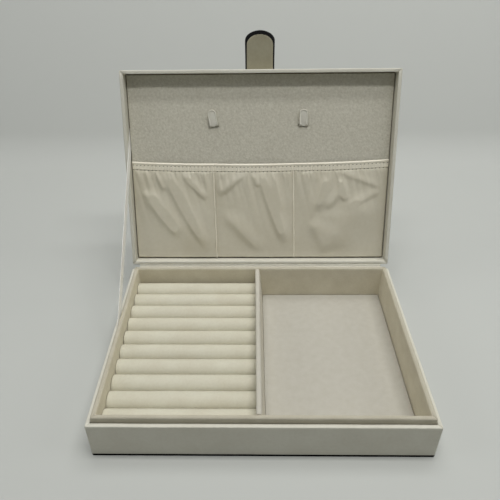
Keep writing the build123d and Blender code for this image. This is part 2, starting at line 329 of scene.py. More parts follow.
@dataclass(frozen=True)
class Finish:
    """One finish: its record slot, its two tones, how matt it is and how deep its relief is."""

    name: str
    slot: str
    light: Colour
    dark: Colour
    roughness: float
    depth: float
    patch: float = 24 * MM

    def constants(self) -> dict[str, object]:
        """Shader values that are the same all over the surface."""
        return {}

    def relief(self, kit: NodeKit, coords: bpy.types.Node) -> Socket:
        """Height of the surface's fine relief."""
        raise NotImplementedError

    def colour(self, kit: NodeKit, coords: bpy.types.Node, tone: bpy.types.Node) -> Socket:
        """Colour of the surface, from its mottled tone."""
        return tone.outputs["Color"]

    def material(self) -> bpy.types.Material:
        """The finish's material, built when it is first asked for.

        Returns:
            A node material with tone, roughness and relief that change over the surface.
        """
        label = self.name + "_finish"
        made = bpy.data.materials.get(label)
        if made:
            return made
        made = bpy.data.materials.new(label)
        made.use_nodes = True
        made.node_tree.nodes.clear()
        kit = NodeKit(made.node_tree)
        coords = kit.add("ShaderNodeTexCoord")
        tone = kit.effect(
            Effect.MOTTLE, Vector=coords.outputs["Object"], Light=self.light, Dark=self.dark, Size=self.patch
        )
        spread = 0.06
        matt = kit.add(
            "ShaderNodeMapRange",
            {
                "Value": tone.outputs["Value"],
                "To Min": min(self.roughness + spread, 1.0),
                "To Max": self.roughness - spread,
            },
        )
        bump = kit.add(
            "ShaderNodeBump", {"Height": self.relief(kit, coords), "Strength": 0.8, "Distance": self.depth}
        )
        shader = kit.add(
            "ShaderNodeBsdfPrincipled",
            {
                "Base Color": self.colour(kit, coords, tone),
                "Roughness": matt.outputs[0],
                "Normal": bump.outputs["Normal"],
                **self.constants(),
            },
        )
        kit.add("ShaderNodeOutputMaterial", {"Surface": shader.outputs["BSDF"]})
        return made


@dataclass(frozen=True)
class Leather(Finish):
    """Coated cloth with a pebbled grain."""

    grain: float = 0.6 * MM
    gloss: float = 0.4

    def constants(self) -> dict[str, object]:
        """Gloss of the coating."""
        return {"Specular IOR Level": self.gloss}

    def relief(self, kit: NodeKit, coords: bpy.types.Node) -> Socket:
        """Pebbled grain."""
        return kit.effect(Effect.GRAIN, Vector=coords.outputs["Object"], Size=self.grain).outputs["Height"]


@dataclass(frozen=True)
class Pile(Finish):
    """Velvet, suede or flock: short fibres that glow at grazing angles."""

    fibre: float = 0.35 * MM
    brush: float = 9 * MM
    sheen: float = 0.06

    def constants(self) -> dict[str, object]:
        """Sheen of the fibres, and hardly any gloss."""
        return {
            "Sheen Weight": self.sheen,
            "Sheen Roughness": 0.45,
            "Sheen Tint": self.light,
            "Specular IOR Level": 0.1,
        }

    def relief(self, kit: NodeKit, coords: bpy.types.Node) -> Socket:
        """Fibres and brush strokes."""
        nap = kit.effect(Effect.NAP, Vector=coords.outputs["Object"], Fibre=self.fibre, Brush=self.brush)
        return nap.outputs["Height"]


@dataclass(frozen=True)
class LipShadedPile(Pile):
    """Pile whose tone is darkened by painted shade over a lip and outside it."""

    inside: tuple[float, float, float] = (1.0, 1.0, 1.0)
    lip_shade_share: float = 1.0

    def colour(self, kit: NodeKit, coords: bpy.types.Node, tone: bpy.types.Node) -> Socket:
        """Mottled tone, darkened on the lip by painted shade."""
        lip = kit.effect(
            Effect.LIP_SHADE,
            Vector=coords.outputs["Object"],
            Color=tone.outputs["Color"],
            Inside=self.inside,
            Share=self.lip_shade_share,
        )
        return lip.outputs["Color"]


@dataclass(frozen=True)
class Woven(Finish):
    """Cloth whose threads follow the piece's own flat map."""

    thread: float = 0.3 * MM
    sheen: float = 0.2
    gloss: float = 0.3

    def constants(self) -> dict[str, object]:
        """Sheen and gloss of the threads."""
        return {"Sheen Weight": self.sheen, "Sheen Roughness": 0.35, "Specular IOR Level": self.gloss}

    def relief(self, kit: NodeKit, coords: bpy.types.Node) -> Socket:
        """Crossing threads."""
        return kit.effect(Effect.WEAVE, Vector=coords.outputs["UV"], Thread=self.thread).outputs["Height"]


@dataclass(frozen=True)
class Metal(Finish):
    """Plated steel with a brushed surface."""

    stroke: float = 0.25 * MM
    brush: float = 5 * MM
    drawn_out: tuple[float, float, float] = (0.06, 1.0, 1.0)

    def constants(self) -> dict[str, object]:
        """Bare metal."""
        return {"Metallic": 1.0}

    def relief(self, kit: NodeKit, coords: bpy.types.Node) -> Socket:
        """Brush marks drawn out along X."""
        along = kit.add("ShaderNodeMapping", {"Vector": coords.outputs["Object"], "Scale": self.drawn_out})
        return kit.effect(
            Effect.NAP, Vector=along.outputs[0], Fibre=self.stroke, Brush=self.brush
        ).outputs["Height"]


CREAM = Leather(
    "cream_leatherette", "leatherette", tint(208, 206, 193), tint(201, 198, 184), 0.55, 0.02 * MM, gloss=0.12
)
# Cream leatherette lightened with painted light, for the hinge strip that lies in the shaded gap between lid
# and base.
HINGE_LEATHER_PAINTED_LIGHT = Leather(
    "hinge_leatherette_painted_light", "leatherette", tint(216, 214, 202), tint(210, 207, 194), 0.6, 0.01 * MM, gloss=0.2
)
# Cream leatherette darkened with painted shade, for the tab's steep facing that the lamps light only at a
# slant.
TAB_FACE_PAINTED_SHADE = Leather(
    "tab_cream_leatherette_painted_shade", "tab_cream", tint(146, 142, 121), tint(136, 131, 109), 0.5, 0.02 * MM
)
BLACK = Leather(
    "black_leatherette", "tab_black", tint(9, 9, 9), tint(5, 5, 5), 0.5, 0.03 * MM, grain=0.7 * MM, gloss=0.25
)
FLOCK = Pile("black_flock", "black_cover", tint(3, 3, 3), tint(1, 1, 1), 0.95, 0.04 * MM, sheen=0.0)
TRAY_VELVET = Pile(
    "tray_velvet", "tray_velvet", tint(183, 180, 169), tint(177, 173, 161), 0.88, 0.05 * MM, patch=6 * MM,
    brush=3 * MM,
)
# Tray velvet lightened with painted light for the tray's walls; painted shade takes it back down on the lip
# and the outer faces.
LINING_VELVET_PAINTED_LIGHT_AND_SHADE = LipShadedPile(
    "tray_lining_velvet", "tray_velvet", tint(216, 210, 190), tint(206, 199, 178), 0.88, 0.06 * MM,
    patch=11 * MM, sheen=0.3, inside=(117.8 * MM, 83.8 * MM, 1.0), lip_shade_share=0.7,
)
ROLL_VELVET = Pile(
    "roll_velvet", "roll_velvet", tint(203, 200, 182), tint(196, 191, 172), 0.86, 0.05 * MM, patch=16 * MM
)
# Painted shade darkens the divider's top above 37 mm, which the lamps light from above.
DIVIDER_CLOTH = LipShadedPile(
    "divider_cloth", "divider_cloth", tint(212, 208, 194), tint(205, 201, 186), 0.8, 0.03 * MM,
    inside=(1.0, 1.0, 37.0 * MM), lip_shade_share=0.78,
)
SUEDE = Pile(
    "lid_suede", "suede", tint(208, 205, 191), tint(185, 181, 165), 0.9, 0.75 * MM,
    patch=2 * MM, fibre=1.4 * MM, brush=3 * MM,
)
HOOK_CLOTH = Pile(
    "hook_cloth", "hook_cloth", tint(214, 212, 200), tint(206, 203, 190), 0.85, 0.04 * MM, patch=5 * MM
)
# Pocket satin lightened with painted light, for the hem and the piped seams.
HEM_SATIN_PAINTED_LIGHT = Woven(
    "hem_satin_painted_light", "pocket_satin", tint(234, 229, 212), tint(226, 220, 202), 0.42, 0.012 * MM, patch=30 * MM
)
SATIN = Woven(
    "pocket_satin", "pocket_satin", tint(211, 206, 188), tint(204, 198, 178), 0.42, 0.012 * MM, patch=30 * MM,
    sheen=0.25, gloss=0.5,
)
# Thread darkened with painted shade, standing for the dimples that the stitches sink into.
THREAD_AND_DIMPLE_SHADE = Woven(
    "hem_thread_and_dimple_shade", "pocket_satin", tint(96, 90, 70), tint(82, 76, 58), 0.7, 0.01 * MM, patch=3 * MM
)
ELASTIC = Woven(
    "elastic_tape", "elastic", tint(222, 220, 212), tint(212, 209, 200), 0.6, 0.05 * MM, thread=0.6 * MM
)
RIBBON = Woven("satin_ribbon", "ribbon", tint(248, 248, 244), tint(242, 242, 236), 0.4, 0.01 * MM, sheen=0.15)
FIBREBOARD = Pile(
    "fibreboard", "fibreboard", tint(150, 124, 92), tint(122, 98, 70), 0.85, 0.05 * MM,
    patch=3 * MM, sheen=0.0,
)
CARD = Pile(
    "grey_card", "card", tint(182, 175, 160), tint(164, 156, 140), 0.85, 0.03 * MM, patch=4 * MM, sheen=0.0
)
FOAM = Pile(
    "foam_bed", "foam", tint(214, 208, 190), tint(200, 193, 172), 0.95, 0.15 * MM, patch=2 * MM, sheen=0.1
)
STEEL = Metal(
    "nickel_steel", "steel", tint(208, 205, 198), tint(188, 184, 176), 0.34, 0.01 * MM, patch=4 * MM
)


def make_piece(
    name: str, points: np.ndarray, faces: Faces, flat_map: np.ndarray | None = None, sharp: float = 45.0
) -> Piece:
    """New object from points and faces.

    Args:
        name: The piece's name.
        points: Its points at rest, in metres.
        faces: Its faces, wound so that they point outwards.
        flat_map: Flat cloth coordinates of each point, in metres.
        sharp: Angle in degrees past which an edge is kept sharp.

    Returns:
        The object, at the origin.
    """
    mesh = bpy.data.meshes.new(name)
    mesh.from_pydata(points.tolist(), [], faces)
    mesh.polygons.foreach_set("use_smooth", np.ones(len(mesh.polygons), bool))
    mesh.set_sharp_from_angle(angle=math.radians(sharp))
    if flat_map is not None:
        corners = np.zeros(len(mesh.loops), np.int32)
        mesh.loops.foreach_get("vertex_index", corners)
        mesh.uv_layers.new(name="cloth").data.foreach_set("uv", flat_map[corners].ravel())
    mesh.update()
    piece = bpy.data.objects.new(name, mesh)
    bpy.context.scene.collection.objects.link(piece)
    return piece


def settle(piece: Piece, finish: Finish, body: Body | None, *nodes: str) -> Piece:
    """Gives a piece its finish, its body and the frame nodes that it stands for.

    Args:
        piece: The finished piece.
        finish: Its finish.
        body: The body it rides on, or None where it spans two.
        nodes: The frame nodes that it replaces.

    Returns:
        The same piece.
    """
    piece.data.materials.clear()
    piece.data.materials.append(finish.material())
    if nodes:
        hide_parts(*nodes)
    if body:
        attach(piece, body.value)
    LOG.info("%s: %d faces, %s", piece.name, len(piece.data.polygons), finish.name)
    return piece


def dress(finish: Finish, *names: str) -> None:
    """Gives frame nodes, which keep their shape, a finish.

    Args:
        finish: The finish.
        names: The nodes.
    """
    for name in names:
        mesh = frame["nodes"][name].data
        mesh.materials.clear()
        mesh.materials.append(finish.material())
        LOG.info("%s: frame node, %s", name, finish.name)


def grid_faces(rows: int, columns: int, wrap_rows: bool = False, wrap_columns: bool = False) -> Faces:
    """Quads over a grid of points that is stored row by row.

    Args:
        rows: How many rows.
        columns: How many points in a row.
        wrap_rows: Whether the last row joins the first.
        wrap_columns: Whether the last column joins the first.

    Returns:
        The quads, which point towards column direction times row direction.
    """
    faces = []
    for row in range(rows if wrap_rows else rows - 1):
        here, above = row * columns, (row + 1) % rows * columns
        for column in range(columns if wrap_columns else columns - 1):
            after = (column + 1) % columns
            faces.append((here + column, here + after, above + after, above + column))
    return faces


def capped_tube(rows: int, columns: int, clockwise: bool = False) -> Faces:
    """Faces of a closed tube of rings, with a flat cap on its first and its last ring.

    Args:
        rows: How many rings.
        columns: Points in a ring.
        clockwise: Whether the rings run clockwise, seen from the last one.

    Returns:
        The tube's quads and its two caps, which point outwards.
    """
    faces = grid_faces(rows, columns, wrap_columns=True)
    last = (rows - 1) * columns
    faces += [tuple(range(columns - 1, -1, -1)), tuple(range(last, last + columns))]
    return [face[::-1] for face in faces] if clockwise else faces


def hills(a: np.ndarray, b: np.ndarray, size: float, seed: int) -> np.ndarray:
    """Smooth, repeatable hills and hollows over two coordinates.

    Args:
        a: First coordinate.
        b: Second coordinate.
        size: Typical width of a hill.
        seed: Number that picks the pattern.

    Returns:
        Heights from about -1 to 1.
    """
    draws = np.random.default_rng(seed)
    total = np.zeros_like(a)
    waves = 7
    for _ in range(waves):
        angle, phase = draws.uniform(0, FULL_TURN, 2)
        rate = FULL_TURN * draws.uniform(0.5, 1.3) / size
        total += np.sin(rate * (a * math.cos(angle) + b * math.sin(angle)) + phase)
    return total / math.sqrt(2 * waves)


def bell(distance: np.ndarray, width: float) -> np.ndarray:
    """Smooth bump that is 1 at no distance and fades within a few widths."""
    return np.exp(-((distance / width) ** 2))


def smooth_step(value: np.ndarray) -> np.ndarray:
    """Smooth rise from 0 to 1."""
    value = np.clip(value, 0, 1)
    return value * value * (3 - 2 * value)


def refined(grid: np.ndarray) -> np.ndarray:
    """A grid made twice as fine, with the new points on smooth curves through the old ones.

    Args:
        grid: Values over rows and columns.

    Returns:
        The finer grid, which holds every old point.
    """
    for axis in (0, 1):
        grid = np.moveaxis(grid, axis, 0)
        longer = np.concatenate([2 * grid[:1] - grid[1:2], grid, 2 * grid[-1:] - grid[-2:-1]])
        finer = np.empty((2 * len(grid) - 1, *grid.shape[1:]))
        finer[::2] = grid
        finer[1::2] = (9 * (longer[1:-2] + longer[2:-1]) - longer[:-3] - longer[3:]) / 16
        grid = np.moveaxis(finer, 0, axis)
    return grid


def rounded_outline(
    corners: Sequence[tuple[float, float, float]], step: float, arc_steps: int = 5
) -> np.ndarray:
    """Closed outline with rounded corners.

    Args:
        corners: Each corner's two coordinates and its radius.
        step: Longest straight stretch between two points.
        arc_steps: Stretches in each rounded corner.

    Returns:
        The outline's points, in the order of the corners.
    """
    points: list[np.ndarray] = []
    count = len(corners)
    for index, (a, b, radius) in enumerate(corners):
        here = np.array([a, b])
        back = np.array(corners[index - 1][:2]) - here
        fore = np.array(corners[(index + 1) % count][:2]) - here
        back, fore = back / np.linalg.norm(back), fore / np.linalg.norm(fore)
        if radius == 0:
            points.append(here)
            continue
        half = math.acos(np.clip(back @ fore, -1, 1)) / 2
        middle = (back + fore) / np.linalg.norm(back + fore)
        centre = here + middle * radius / math.sin(half)
        reach = radius / math.tan(half)
        first, last = here + back * reach - centre, here + fore * reach - centre
        sweep_angle = math.pi - 2 * half
        for share in np.linspace(0, 1, arc_steps + 1):
            blend = math.sin((1 - share) * sweep_angle) * first + math.sin(share * sweep_angle) * last
            points.append(centre + blend / math.sin(sweep_angle))
    full: list[np.ndarray] = []
    for here, after in zip(points, points[1:] + points[:1]):
        pieces = max(1, math.ceil(np.linalg.norm(after - here) / step))
        full.extend(here + (after - here) * part / pieces for part in range(pieces))
    return np.array(full)


@dataclass(frozen=True)
class WallRing:
    """Rounded rectangle about Z, along which a wall's section is swept."""

    half_x: float
    half_y: float
    corner: float
    least_corner: float = 0.8 * MM
    side_step: float = 5 * MM
    corner_steps: int = 12
    crease_width: float = 1.2 * MM

    def side_steps(self, turn: int) -> int:
        """How many steps the side after a corner has."""
        return round(2 * (self.half_y if turn % 2 else self.half_x) / self.side_step)

    def loop(self, inset: float) -> np.ndarray:
        """Points of the ring, counter-clockwise.

        Args:
            inset: How far the ring is drawn in from the outside.

        Returns:
            The points, each corner followed by its side.
        """
        radius = max(self.corner - inset, self.least_corner)
        reach = np.array([self.half_x, self.half_y]) - inset - radius
        quarter = np.linspace(0, math.pi / 2, self.corner_steps + 1)
        arcs = []
        for turn, signs in enumerate(((1, 1), (-1, 1), (-1, -1), (1, -1))):
            angles = quarter + turn * math.pi / 2
            arcs.append(reach * signs + radius * np.column_stack([np.cos(angles), np.sin(angles)]))
        points = []
        for turn, arc in enumerate(arcs):
            following = arcs[(turn + 1) % 4][0]
            steps = self.side_steps(turn)
            shares = np.arange(1, steps)[:, None] / steps
            points += [arc, arc[-1] + (following - arc[-1]) * shares]
        return np.concatenate(points)

    def mitres(self) -> np.ndarray:
        """Marks of the ring's points.

        Returns:
            1 at the middle of each corner, falling to 0 along its arc, and 0 on the sides.
        """
        arc = 1 - np.abs(np.linspace(-1, 1, self.corner_steps + 1))
        marks = []
        for turn in range(4):
            marks += [arc, np.zeros(self.side_steps(turn) - 1)]
        return np.concatenate(marks)

    def sweep(self, section: np.ndarray, crease: float, crease_level: float) -> tuple[np.ndarray, Faces]:
        """Sweeps a closed section round the ring.

        Args:
            section: Points of the section as inset and height, outer side upwards.
            crease: Depth of the two folds beside each corner's mitre.
            crease_level: Height about which the folds show.

        Returns:
            Points and faces of the swept wall.
        """
        mitres = self.mitres()
        rings = []
        for inset, level in section:
            fade = float(bell(np.array(level - crease_level), self.crease_width))
            levels = level - crease * fade * np.sin(math.pi * mitres) ** 2
            rings.append(np.column_stack([self.loop(inset), levels]))
        points = np.concatenate(rings)
        return points, grid_faces(len(section), len(mitres), wrap_rows=True, wrap_columns=True)


def uneven(points: np.ndarray, amount: float, size: float, seed: int) -> np.ndarray:
    """Points moved a little each way, so that no edge is ruler straight."""
    shifts = [
        hills(points[:, first], points[:, second] + points[:, third], size, seed + axis)
        for axis, (first, second, third) in enumerate(((1, 2, 0), (0, 2, 1), (0, 1, 2)))
    ]
    return points + amount * np.column_stack(shifts)


def soft_slab(
    low: Sequence[float], high: Sequence[float], edge: float, cell: float, crown: Callable[..., np.ndarray]
) -> tuple[np.ndarray, Faces]:
    """Flat pad with rolled upper edges.

    Args:
        low: Lowest corner.
        high: Highest corner.
        edge: Radius of the rolled edges.
        cell: Size of the quads on the upper face.
        crown: Height added to the upper face, from its two coordinates.

    Returns:
        Points and faces of the closed pad.
    """
    lines = []
    roll = edge * (1 - np.cos(np.linspace(0, math.pi / 2, 5)))
    for start, end in zip(low[:2], high[:2]):
        inner = np.linspace(start + edge, end - edge, max(2, round((end - start) / cell)))
        lines.append(np.concatenate([start + roll[:-1], inner, end - roll[:-1][::-1]]))
    columns, rows = len(lines[0]), len(lines[1])
    a, b = (axis.ravel() for axis in np.meshgrid(*lines))
    past_a = np.maximum(edge - np.minimum(a - low[0], high[0] - a), 0)
    past_b = np.maximum(edge - np.minimum(b - low[1], high[1] - b), 0)
    past = np.minimum(np.hypot(past_a, past_b), edge)
    drop = edge - np.sqrt(edge**2 - past**2)
    inside = 1 - past / edge
    top = np.column_stack([a, b, high[2] - drop + crown(a, b) * inside])
    index = np.arange(rows * columns).reshape(rows, columns)
    rim = np.concatenate([index[0, :-1], index[:-1, -1], index[-1, :0:-1], index[:0:-1, 0]])
    foot = top[rim].copy()
    foot[:, 2] = low[2]
    faces = grid_faces(rows, columns)
    start = len(top)
    for place in range(len(rim)):
        after = (place + 1) % len(rim)
        faces.append((start + place, start + after, int(rim[after]), int(rim[place])))
    faces.append(tuple(range(start + len(rim) - 1, start - 1, -1)))
    return np.concatenate([top, foot]), faces


def strip(
    along: np.ndarray, half_widths: np.ndarray, thickness: float, edge: float, columns: int = 9
) -> tuple[np.ndarray, Faces]:
    """Flat strap with rounded edges, its middle plane at height 0.

    Args:
        along: Stations along the strap.
        half_widths: Half of its width at each station.
        thickness: Its thickness.
        edge: Radius of its edges, at most half of the thickness.
        columns: Points across each face.

    Returns:
        Points, as across, along and height, and faces of the closed strap.
    """
    half = thickness / 2
    curve = np.linspace(0, math.pi / 2, 4)
    rise_in, rise = edge * (1 - np.sin(curve)), half - edge * (1 - np.cos(curve))
    inner = np.linspace(1, -1, columns)[1:-1]
    rings = []
    for station, width in zip(along, half_widths):
        flat = width - edge
        right = np.column_stack([width - rise_in[::-1], rise[::-1]])
        top = np.column_stack([inner * flat, np.full(len(inner), half)])
        quarter = np.concatenate([right, top, right[::-1] * (-1, 1)])
        ring = np.concatenate([quarter, quarter[::-1] * (1, -1)])
        rings.append(np.column_stack([ring[:, 0], np.full(len(ring), station), ring[:, 1]]))
    return np.concatenate(rings), capped_tube(len(rings), len(rings[0]), clockwise=True)


def bake_nodes(name: str, tree: Tree, values: dict, source: bpy.types.Mesh) -> Piece:
    """Runs a geometry tree once and keeps its result as a plain mesh.

    Args:
        name: The piece's name.
        tree: The geometry tree.
        values: Its inputs by name.
        source: The mesh that it starts from.

    Returns:
        The piece, with no modifier left on it.
    """
    carrier = bpy.data.objects.new(name, source)
    bpy.context.scene.collection.objects.link(carrier)
    modifier = carrier.modifiers.new(tree.name, "NODES")
    modifier.node_group = tree
    for item in tree.interface.items_tree:
        if item.in_out == "INPUT" and item.name in values:
            modifier[item.identifier] = values[item.name]
    graph = bpy.context.evaluated_depsgraph_get()
    baked = bpy.data.meshes.new_from_object(carrier.evaluated_get(graph), depsgraph=graph)
    carrier.modifiers.clear()
    carrier.data = baked
    baked.name = name
    return carrier


def geometry_tree(name: str, *sizes: str, **others: str) -> tuple[NodeKit, Sockets]:
    """Empty geometry tree with named inputs and one geometry output.

    Args:
        name: The tree's name.
        sizes: Names of its inputs that are plain numbers.
        others: Kind of each other input, by name.

    Returns:
        The tree's kit, and the sockets that hold its inputs.
    """
    shape = {"Geometry": "Geometry"}
    inputs = {**shape, **dict.fromkeys(sizes, "Float"), **others}
    return new_tree(name, inputs, shape, "GeometryNodeTree")


def close_tree(kit: NodeKit, shape: Socket, material: Socket) -> Tree:
    """Ends a geometry tree with smooth, real faces of one material.

    Args:
        shape: The socket that holds the shape.
        material: The socket that holds the material.

    Returns:
        The finished tree.
    """
    smooth = kit.add("GeometryNodeSetShadeSmooth", {"Geometry": shape})
    real = kit.add("GeometryNodeRealizeInstances", {"Geometry": smooth.outputs[0]})
    coated = kit.add("GeometryNodeSetMaterial", {"Geometry": real.outputs[0], "Material": material})
    kit.add("NodeGroupOutput", {"Geometry": coated.outputs[0]})
    return kit.tree


def roll_tree() -> Tree:
    """Geometry tree of one ring roll: a stuffed tube along X with rolled ends and a flat underside.

    Returns:
        The finished tree.
    """
    rings, sides, lump_scale = 72, 44, 55.0
    sizes = "Length", "Radius", "End Round", "Foot", "Unevenness"
    kit, size = geometry_tree("ring_roll", *sizes, Seed="Vector", Material="Material")
    far_end = kit.add("ShaderNodeCombineXYZ", {"X": size["Length"]})
    line = kit.add("GeometryNodeCurvePrimitiveLine", {"End": far_end.outputs[0]})
    fine = kit.add("GeometryNodeResampleCurve", {"Curve": line.outputs[0], "Count": rings})
    share = kit.add("GeometryNodeSplineParameter").outputs["Factor"]
    swing = kit.math("COSINE", kit.math("MULTIPLY", share, math.pi))
    eased = kit.math("MULTIPLY_ADD", swing, -0.5, 0.5)
    station = kit.math("MULTIPLY", eased, size["Length"])
    place = kit.add("ShaderNodeCombineXYZ", {"X": station})
    spaced = kit.add("GeometryNodeSetPosition", {"Geometry": fine.outputs[0], "Position": place.outputs[0]})
    placed = kit.add("GeometryNodeInputPosition").outputs[0]
    placed_x = kit.add("ShaderNodeSeparateXYZ", {0: placed}).outputs["X"]
    to_end = kit.math("MINIMUM", placed_x, kit.math("SUBTRACT", size["Length"], placed_x))
    past = kit.math("SUBTRACT", size["End Round"], kit.math("MINIMUM", to_end, size["End Round"]))
    squares = kit.math("SUBTRACT", kit.math("POWER", size["End Round"], 2.0), kit.math("POWER", past, 2.0))
    rise = kit.math("SQRT", kit.math("MAXIMUM", squares, 0.0))
    radius = kit.math("ADD", kit.math("SUBTRACT", size["Radius"], size["End Round"]), rise)
    circle = kit.add("GeometryNodeCurvePrimitiveCircle", {"Resolution": sides, "Radius": 1.0})
    tube = kit.add(
        "GeometryNodeCurveToMesh",
        {"Curve": spaced.outputs[0], "Profile Curve": circle.outputs[0], "Scale": radius, "Fill Caps": True},
    )
    position = kit.add("GeometryNodeInputPosition").outputs[0]
    normal = kit.add("GeometryNodeInputNormal").outputs[0]
    drift = kit.add("ShaderNodeVectorMath", {0: position, 1: size["Seed"]}, operation="ADD")
    noise = kit.noise(drift.outputs[0], lump_scale, detail=1.0)
    swell = kit.math("MULTIPLY", kit.math("SUBTRACT", noise, 0.5), size["Unevenness"])
    offset = kit.add("ShaderNodeVectorMath", {0: normal, "Scale": swell}, operation="SCALE")
    lumpy = kit.add("GeometryNodeSetPosition", {"Geometry": tube.outputs[0], "Offset": offset.outputs[0]})
    parts = kit.add("ShaderNodeSeparateXYZ", {0: kit.add("GeometryNodeInputPosition").outputs[0]})
    floor = kit.math("MAXIMUM", parts.outputs["Z"], kit.math("MULTIPLY", size["Foot"], -1.0))
    rest = kit.add("ShaderNodeCombineXYZ", {"X": parts.outputs["X"], "Y": parts.outputs["Y"], "Z": floor})
    seated = kit.add("GeometryNodeSetPosition", {"Geometry": lumpy.outputs[0], "Position": rest.outputs[0]})
    return close_tree(kit, seated.outputs[0], size["Material"])


def stitch_tree() -> Tree:
    """Geometry tree of a stitch row: one small thread loop after another along a line of points.

    Returns:
        The finished tree.
    """
    kit, size = geometry_tree("stitch_row", "Pitch", "Length", "Thickness", Material="Material")
    curve = kit.add("GeometryNodeMeshToCurve", {"Mesh": size["Geometry"]})
    spaced = kit.add(
        "GeometryNodeResampleCurve", {"Curve": curve.outputs[0], "Length": size["Pitch"]}, mode="LENGTH"
    )
    tangent = kit.add("GeometryNodeInputTangent").outputs[0]
    turned = kit.add("FunctionNodeAlignRotationToVector", {"Vector": tangent}, axis="X")
    bead = kit.add("GeometryNodeMeshUVSphere", {"Segments": 8, "Rings": 5, "Radius": 0.5})
    stretch = kit.add(
        "ShaderNodeCombineXYZ", {"X": size["Length"], "Y": size["Thickness"], "Z": size["Thickness"]}
    )
    row = kit.add(
        "GeometryNodeInstanceOnPoints",
        {
            "Points": spaced.outputs[0],
            "Instance": bead.outputs[0],
            "Rotation": turned.outputs[0],
            "Scale": stretch.outputs[0],
        },
    )
    return close_tree(kit, row.outputs[0], size["Material"])


def node_points(name: str) -> np.ndarray:
    """Points of a frame node, at rest.

    Args:
        name: The node's name.

    Returns:
        One row for each point.
    """
    mesh = frame["nodes"][name].data
    flat = np.zeros(len(mesh.vertices) * 3)
    mesh.vertices.foreach_get("co", flat)
    return flat.reshape(-1, 3)


@dataclass(frozen=True)
class LidFrame:
    """Places pieces that are drawn on the shut lid where the open lid holds them."""

    hinge: np.ndarray
    opening: float
    rear: float
    face: float

    @classmethod
    def from_frame(cls) -> "LidFrame":
        """Reads the hinge, the opening angle, the rear edge and the lining's face from the frame.

        Returns:
            The lid's frame.
        """
        joint = next(joint for joint in frame["joints"] if joint["name"] == "lid_hinge")
        opening = math.radians(joint["range_deg"][1])
        bare = cls(np.array(joint["pos_m"]), opening, 0.0, 0.0)
        rear = bare.shut_box("lid_wrap")[1][1]
        face = bare.shut_box("lid_panel_suede")[0][2]
        return cls(bare.hinge, opening, rear, face)

    def turned(self, points: np.ndarray, angle: float) -> np.ndarray:
        """Points turned about the hinge.

        Args:
            points: The points.
            angle: The turn in radians, positive towards shut.

        Returns:
            The turned points.
        """
        x, y, z = (points - self.hinge).T
        cos, sin = math.cos(angle), math.sin(angle)
        return np.column_stack([x, y * cos - z * sin, y * sin + z * cos]) + self.hinge

    def opened(self, points: np.ndarray) -> np.ndarray:
        """Points of the shut lid, moved to the open rest."""
        return self.turned(points, -self.opening)

    def shut_box(self, node: str) -> tuple[np.ndarray, np.ndarray]:
        """Lowest and highest corner of a frame node on the shut lid."""
        points = self.turned(node_points(node), self.opening)
        return points.min(0), points.max(0)

    def on_face(self, points: np.ndarray) -> np.ndarray:
        """Points given as x, distance from the rear edge and height off the lining, at the open rest."""
        x, reach, height = points.T
        return self.opened(np.column_stack([x, self.rear - reach, self.face - height]))

    def face_box(self, node: str) -> tuple[np.ndarray, np.ndarray]:
        """Lowest and highest corner of a frame node as x, distance from the rear edge and height."""
        low, high = self.shut_box(node)
        return (
            np.array([low[0], self.rear - high[1], self.face - high[2]]),
            np.array([high[0], self.rear - low[1], self.face - low[2]]),
        )


def rim_inner_round(outer_round: float) -> float:
    """Radius of a rim's inner edge, a little tighter than its outer one."""
    return 0.75 * outer_round


@dataclass
class BaseShell:
    """Leatherette shell of the base, with the boards inside it and the black cover under it."""

    corner: float = 1.0 * MM
    rim_round: float = 0.8 * MM
    foot_round: float = 0.45 * MM
    turn_in: float = 14 * MM
    mitre_depth: float = 0.3 * MM
    softness: float = 0.05 * MM
    cover_corner: float = 1.2 * MM
    cover_edge: float = 0.25 * MM

    def cover(self) -> Piece:
        """Flocked sheet under the box, with rolled edges.

        Returns:
            The piece.
        """
        low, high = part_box("bottom_cover")
        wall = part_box("base_wrap")[1]
        ring = WallRing(wall.x, wall.y, self.cover_corner)
        curve = np.linspace(0, math.pi / 2, 5)
        inset, rise = self.cover_edge * (1 - np.sin(curve)), self.cover_edge * (1 - np.cos(curve))
        lower = list(zip(inset, low.z + rise))
        upper = list(zip(inset[::-1], high.z - rise[::-1]))
        count = len(ring.mitres())
        loops = [np.column_stack([ring.loop(inward), np.full(count, z)]) for inward, z in lower + upper]
        return make_piece("bottom_flock_cover", np.concatenate(loops), capped_tube(len(loops), count))

    def wrap(self) -> Piece:
        """Skin over the outside, the rim and the upper inside of the walls.

        Returns:
            The piece.
        """
        low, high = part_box("base_wrap")
        board_low, board_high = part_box("base_left_board")
        skin = board_low.x - low.x
        wall = board_high.x - low.x + skin
        rim = high.z
        section = rounded_outline(
            [
                (0, low.z, self.foot_round),
                (0, rim, self.rim_round),
                (wall, rim, rim_inner_round(self.rim_round)),
                (wall, rim - self.turn_in, 0),
                (wall - skin, rim - self.turn_in, 0),
                (wall - skin, rim - skin, 0),
                (skin, rim - skin, 0),
                (skin, low.z, 0),
            ],
            step=4 * MM,
        )
        ring = WallRing(high.x, high.y, self.corner)
        points, faces = ring.sweep(section, self.mitre_depth, rim)
        return make_piece("base_leatherette", uneven(points, self.softness, size=60 * MM, seed=11), faces)

    def build(self) -> None:
        """Makes and dresses every piece of the shell."""
        settle(self.wrap(), CREAM, Body.BASE, "base_wrap")
        settle(self.cover(), FLOCK, Body.BASE, "bottom_cover")
        dress(FIBREBOARD, *(f"base_{place}_board" for place in ("bottom", "front", "back", "left", "right")))
        dress(STEEL, "closure_plate")


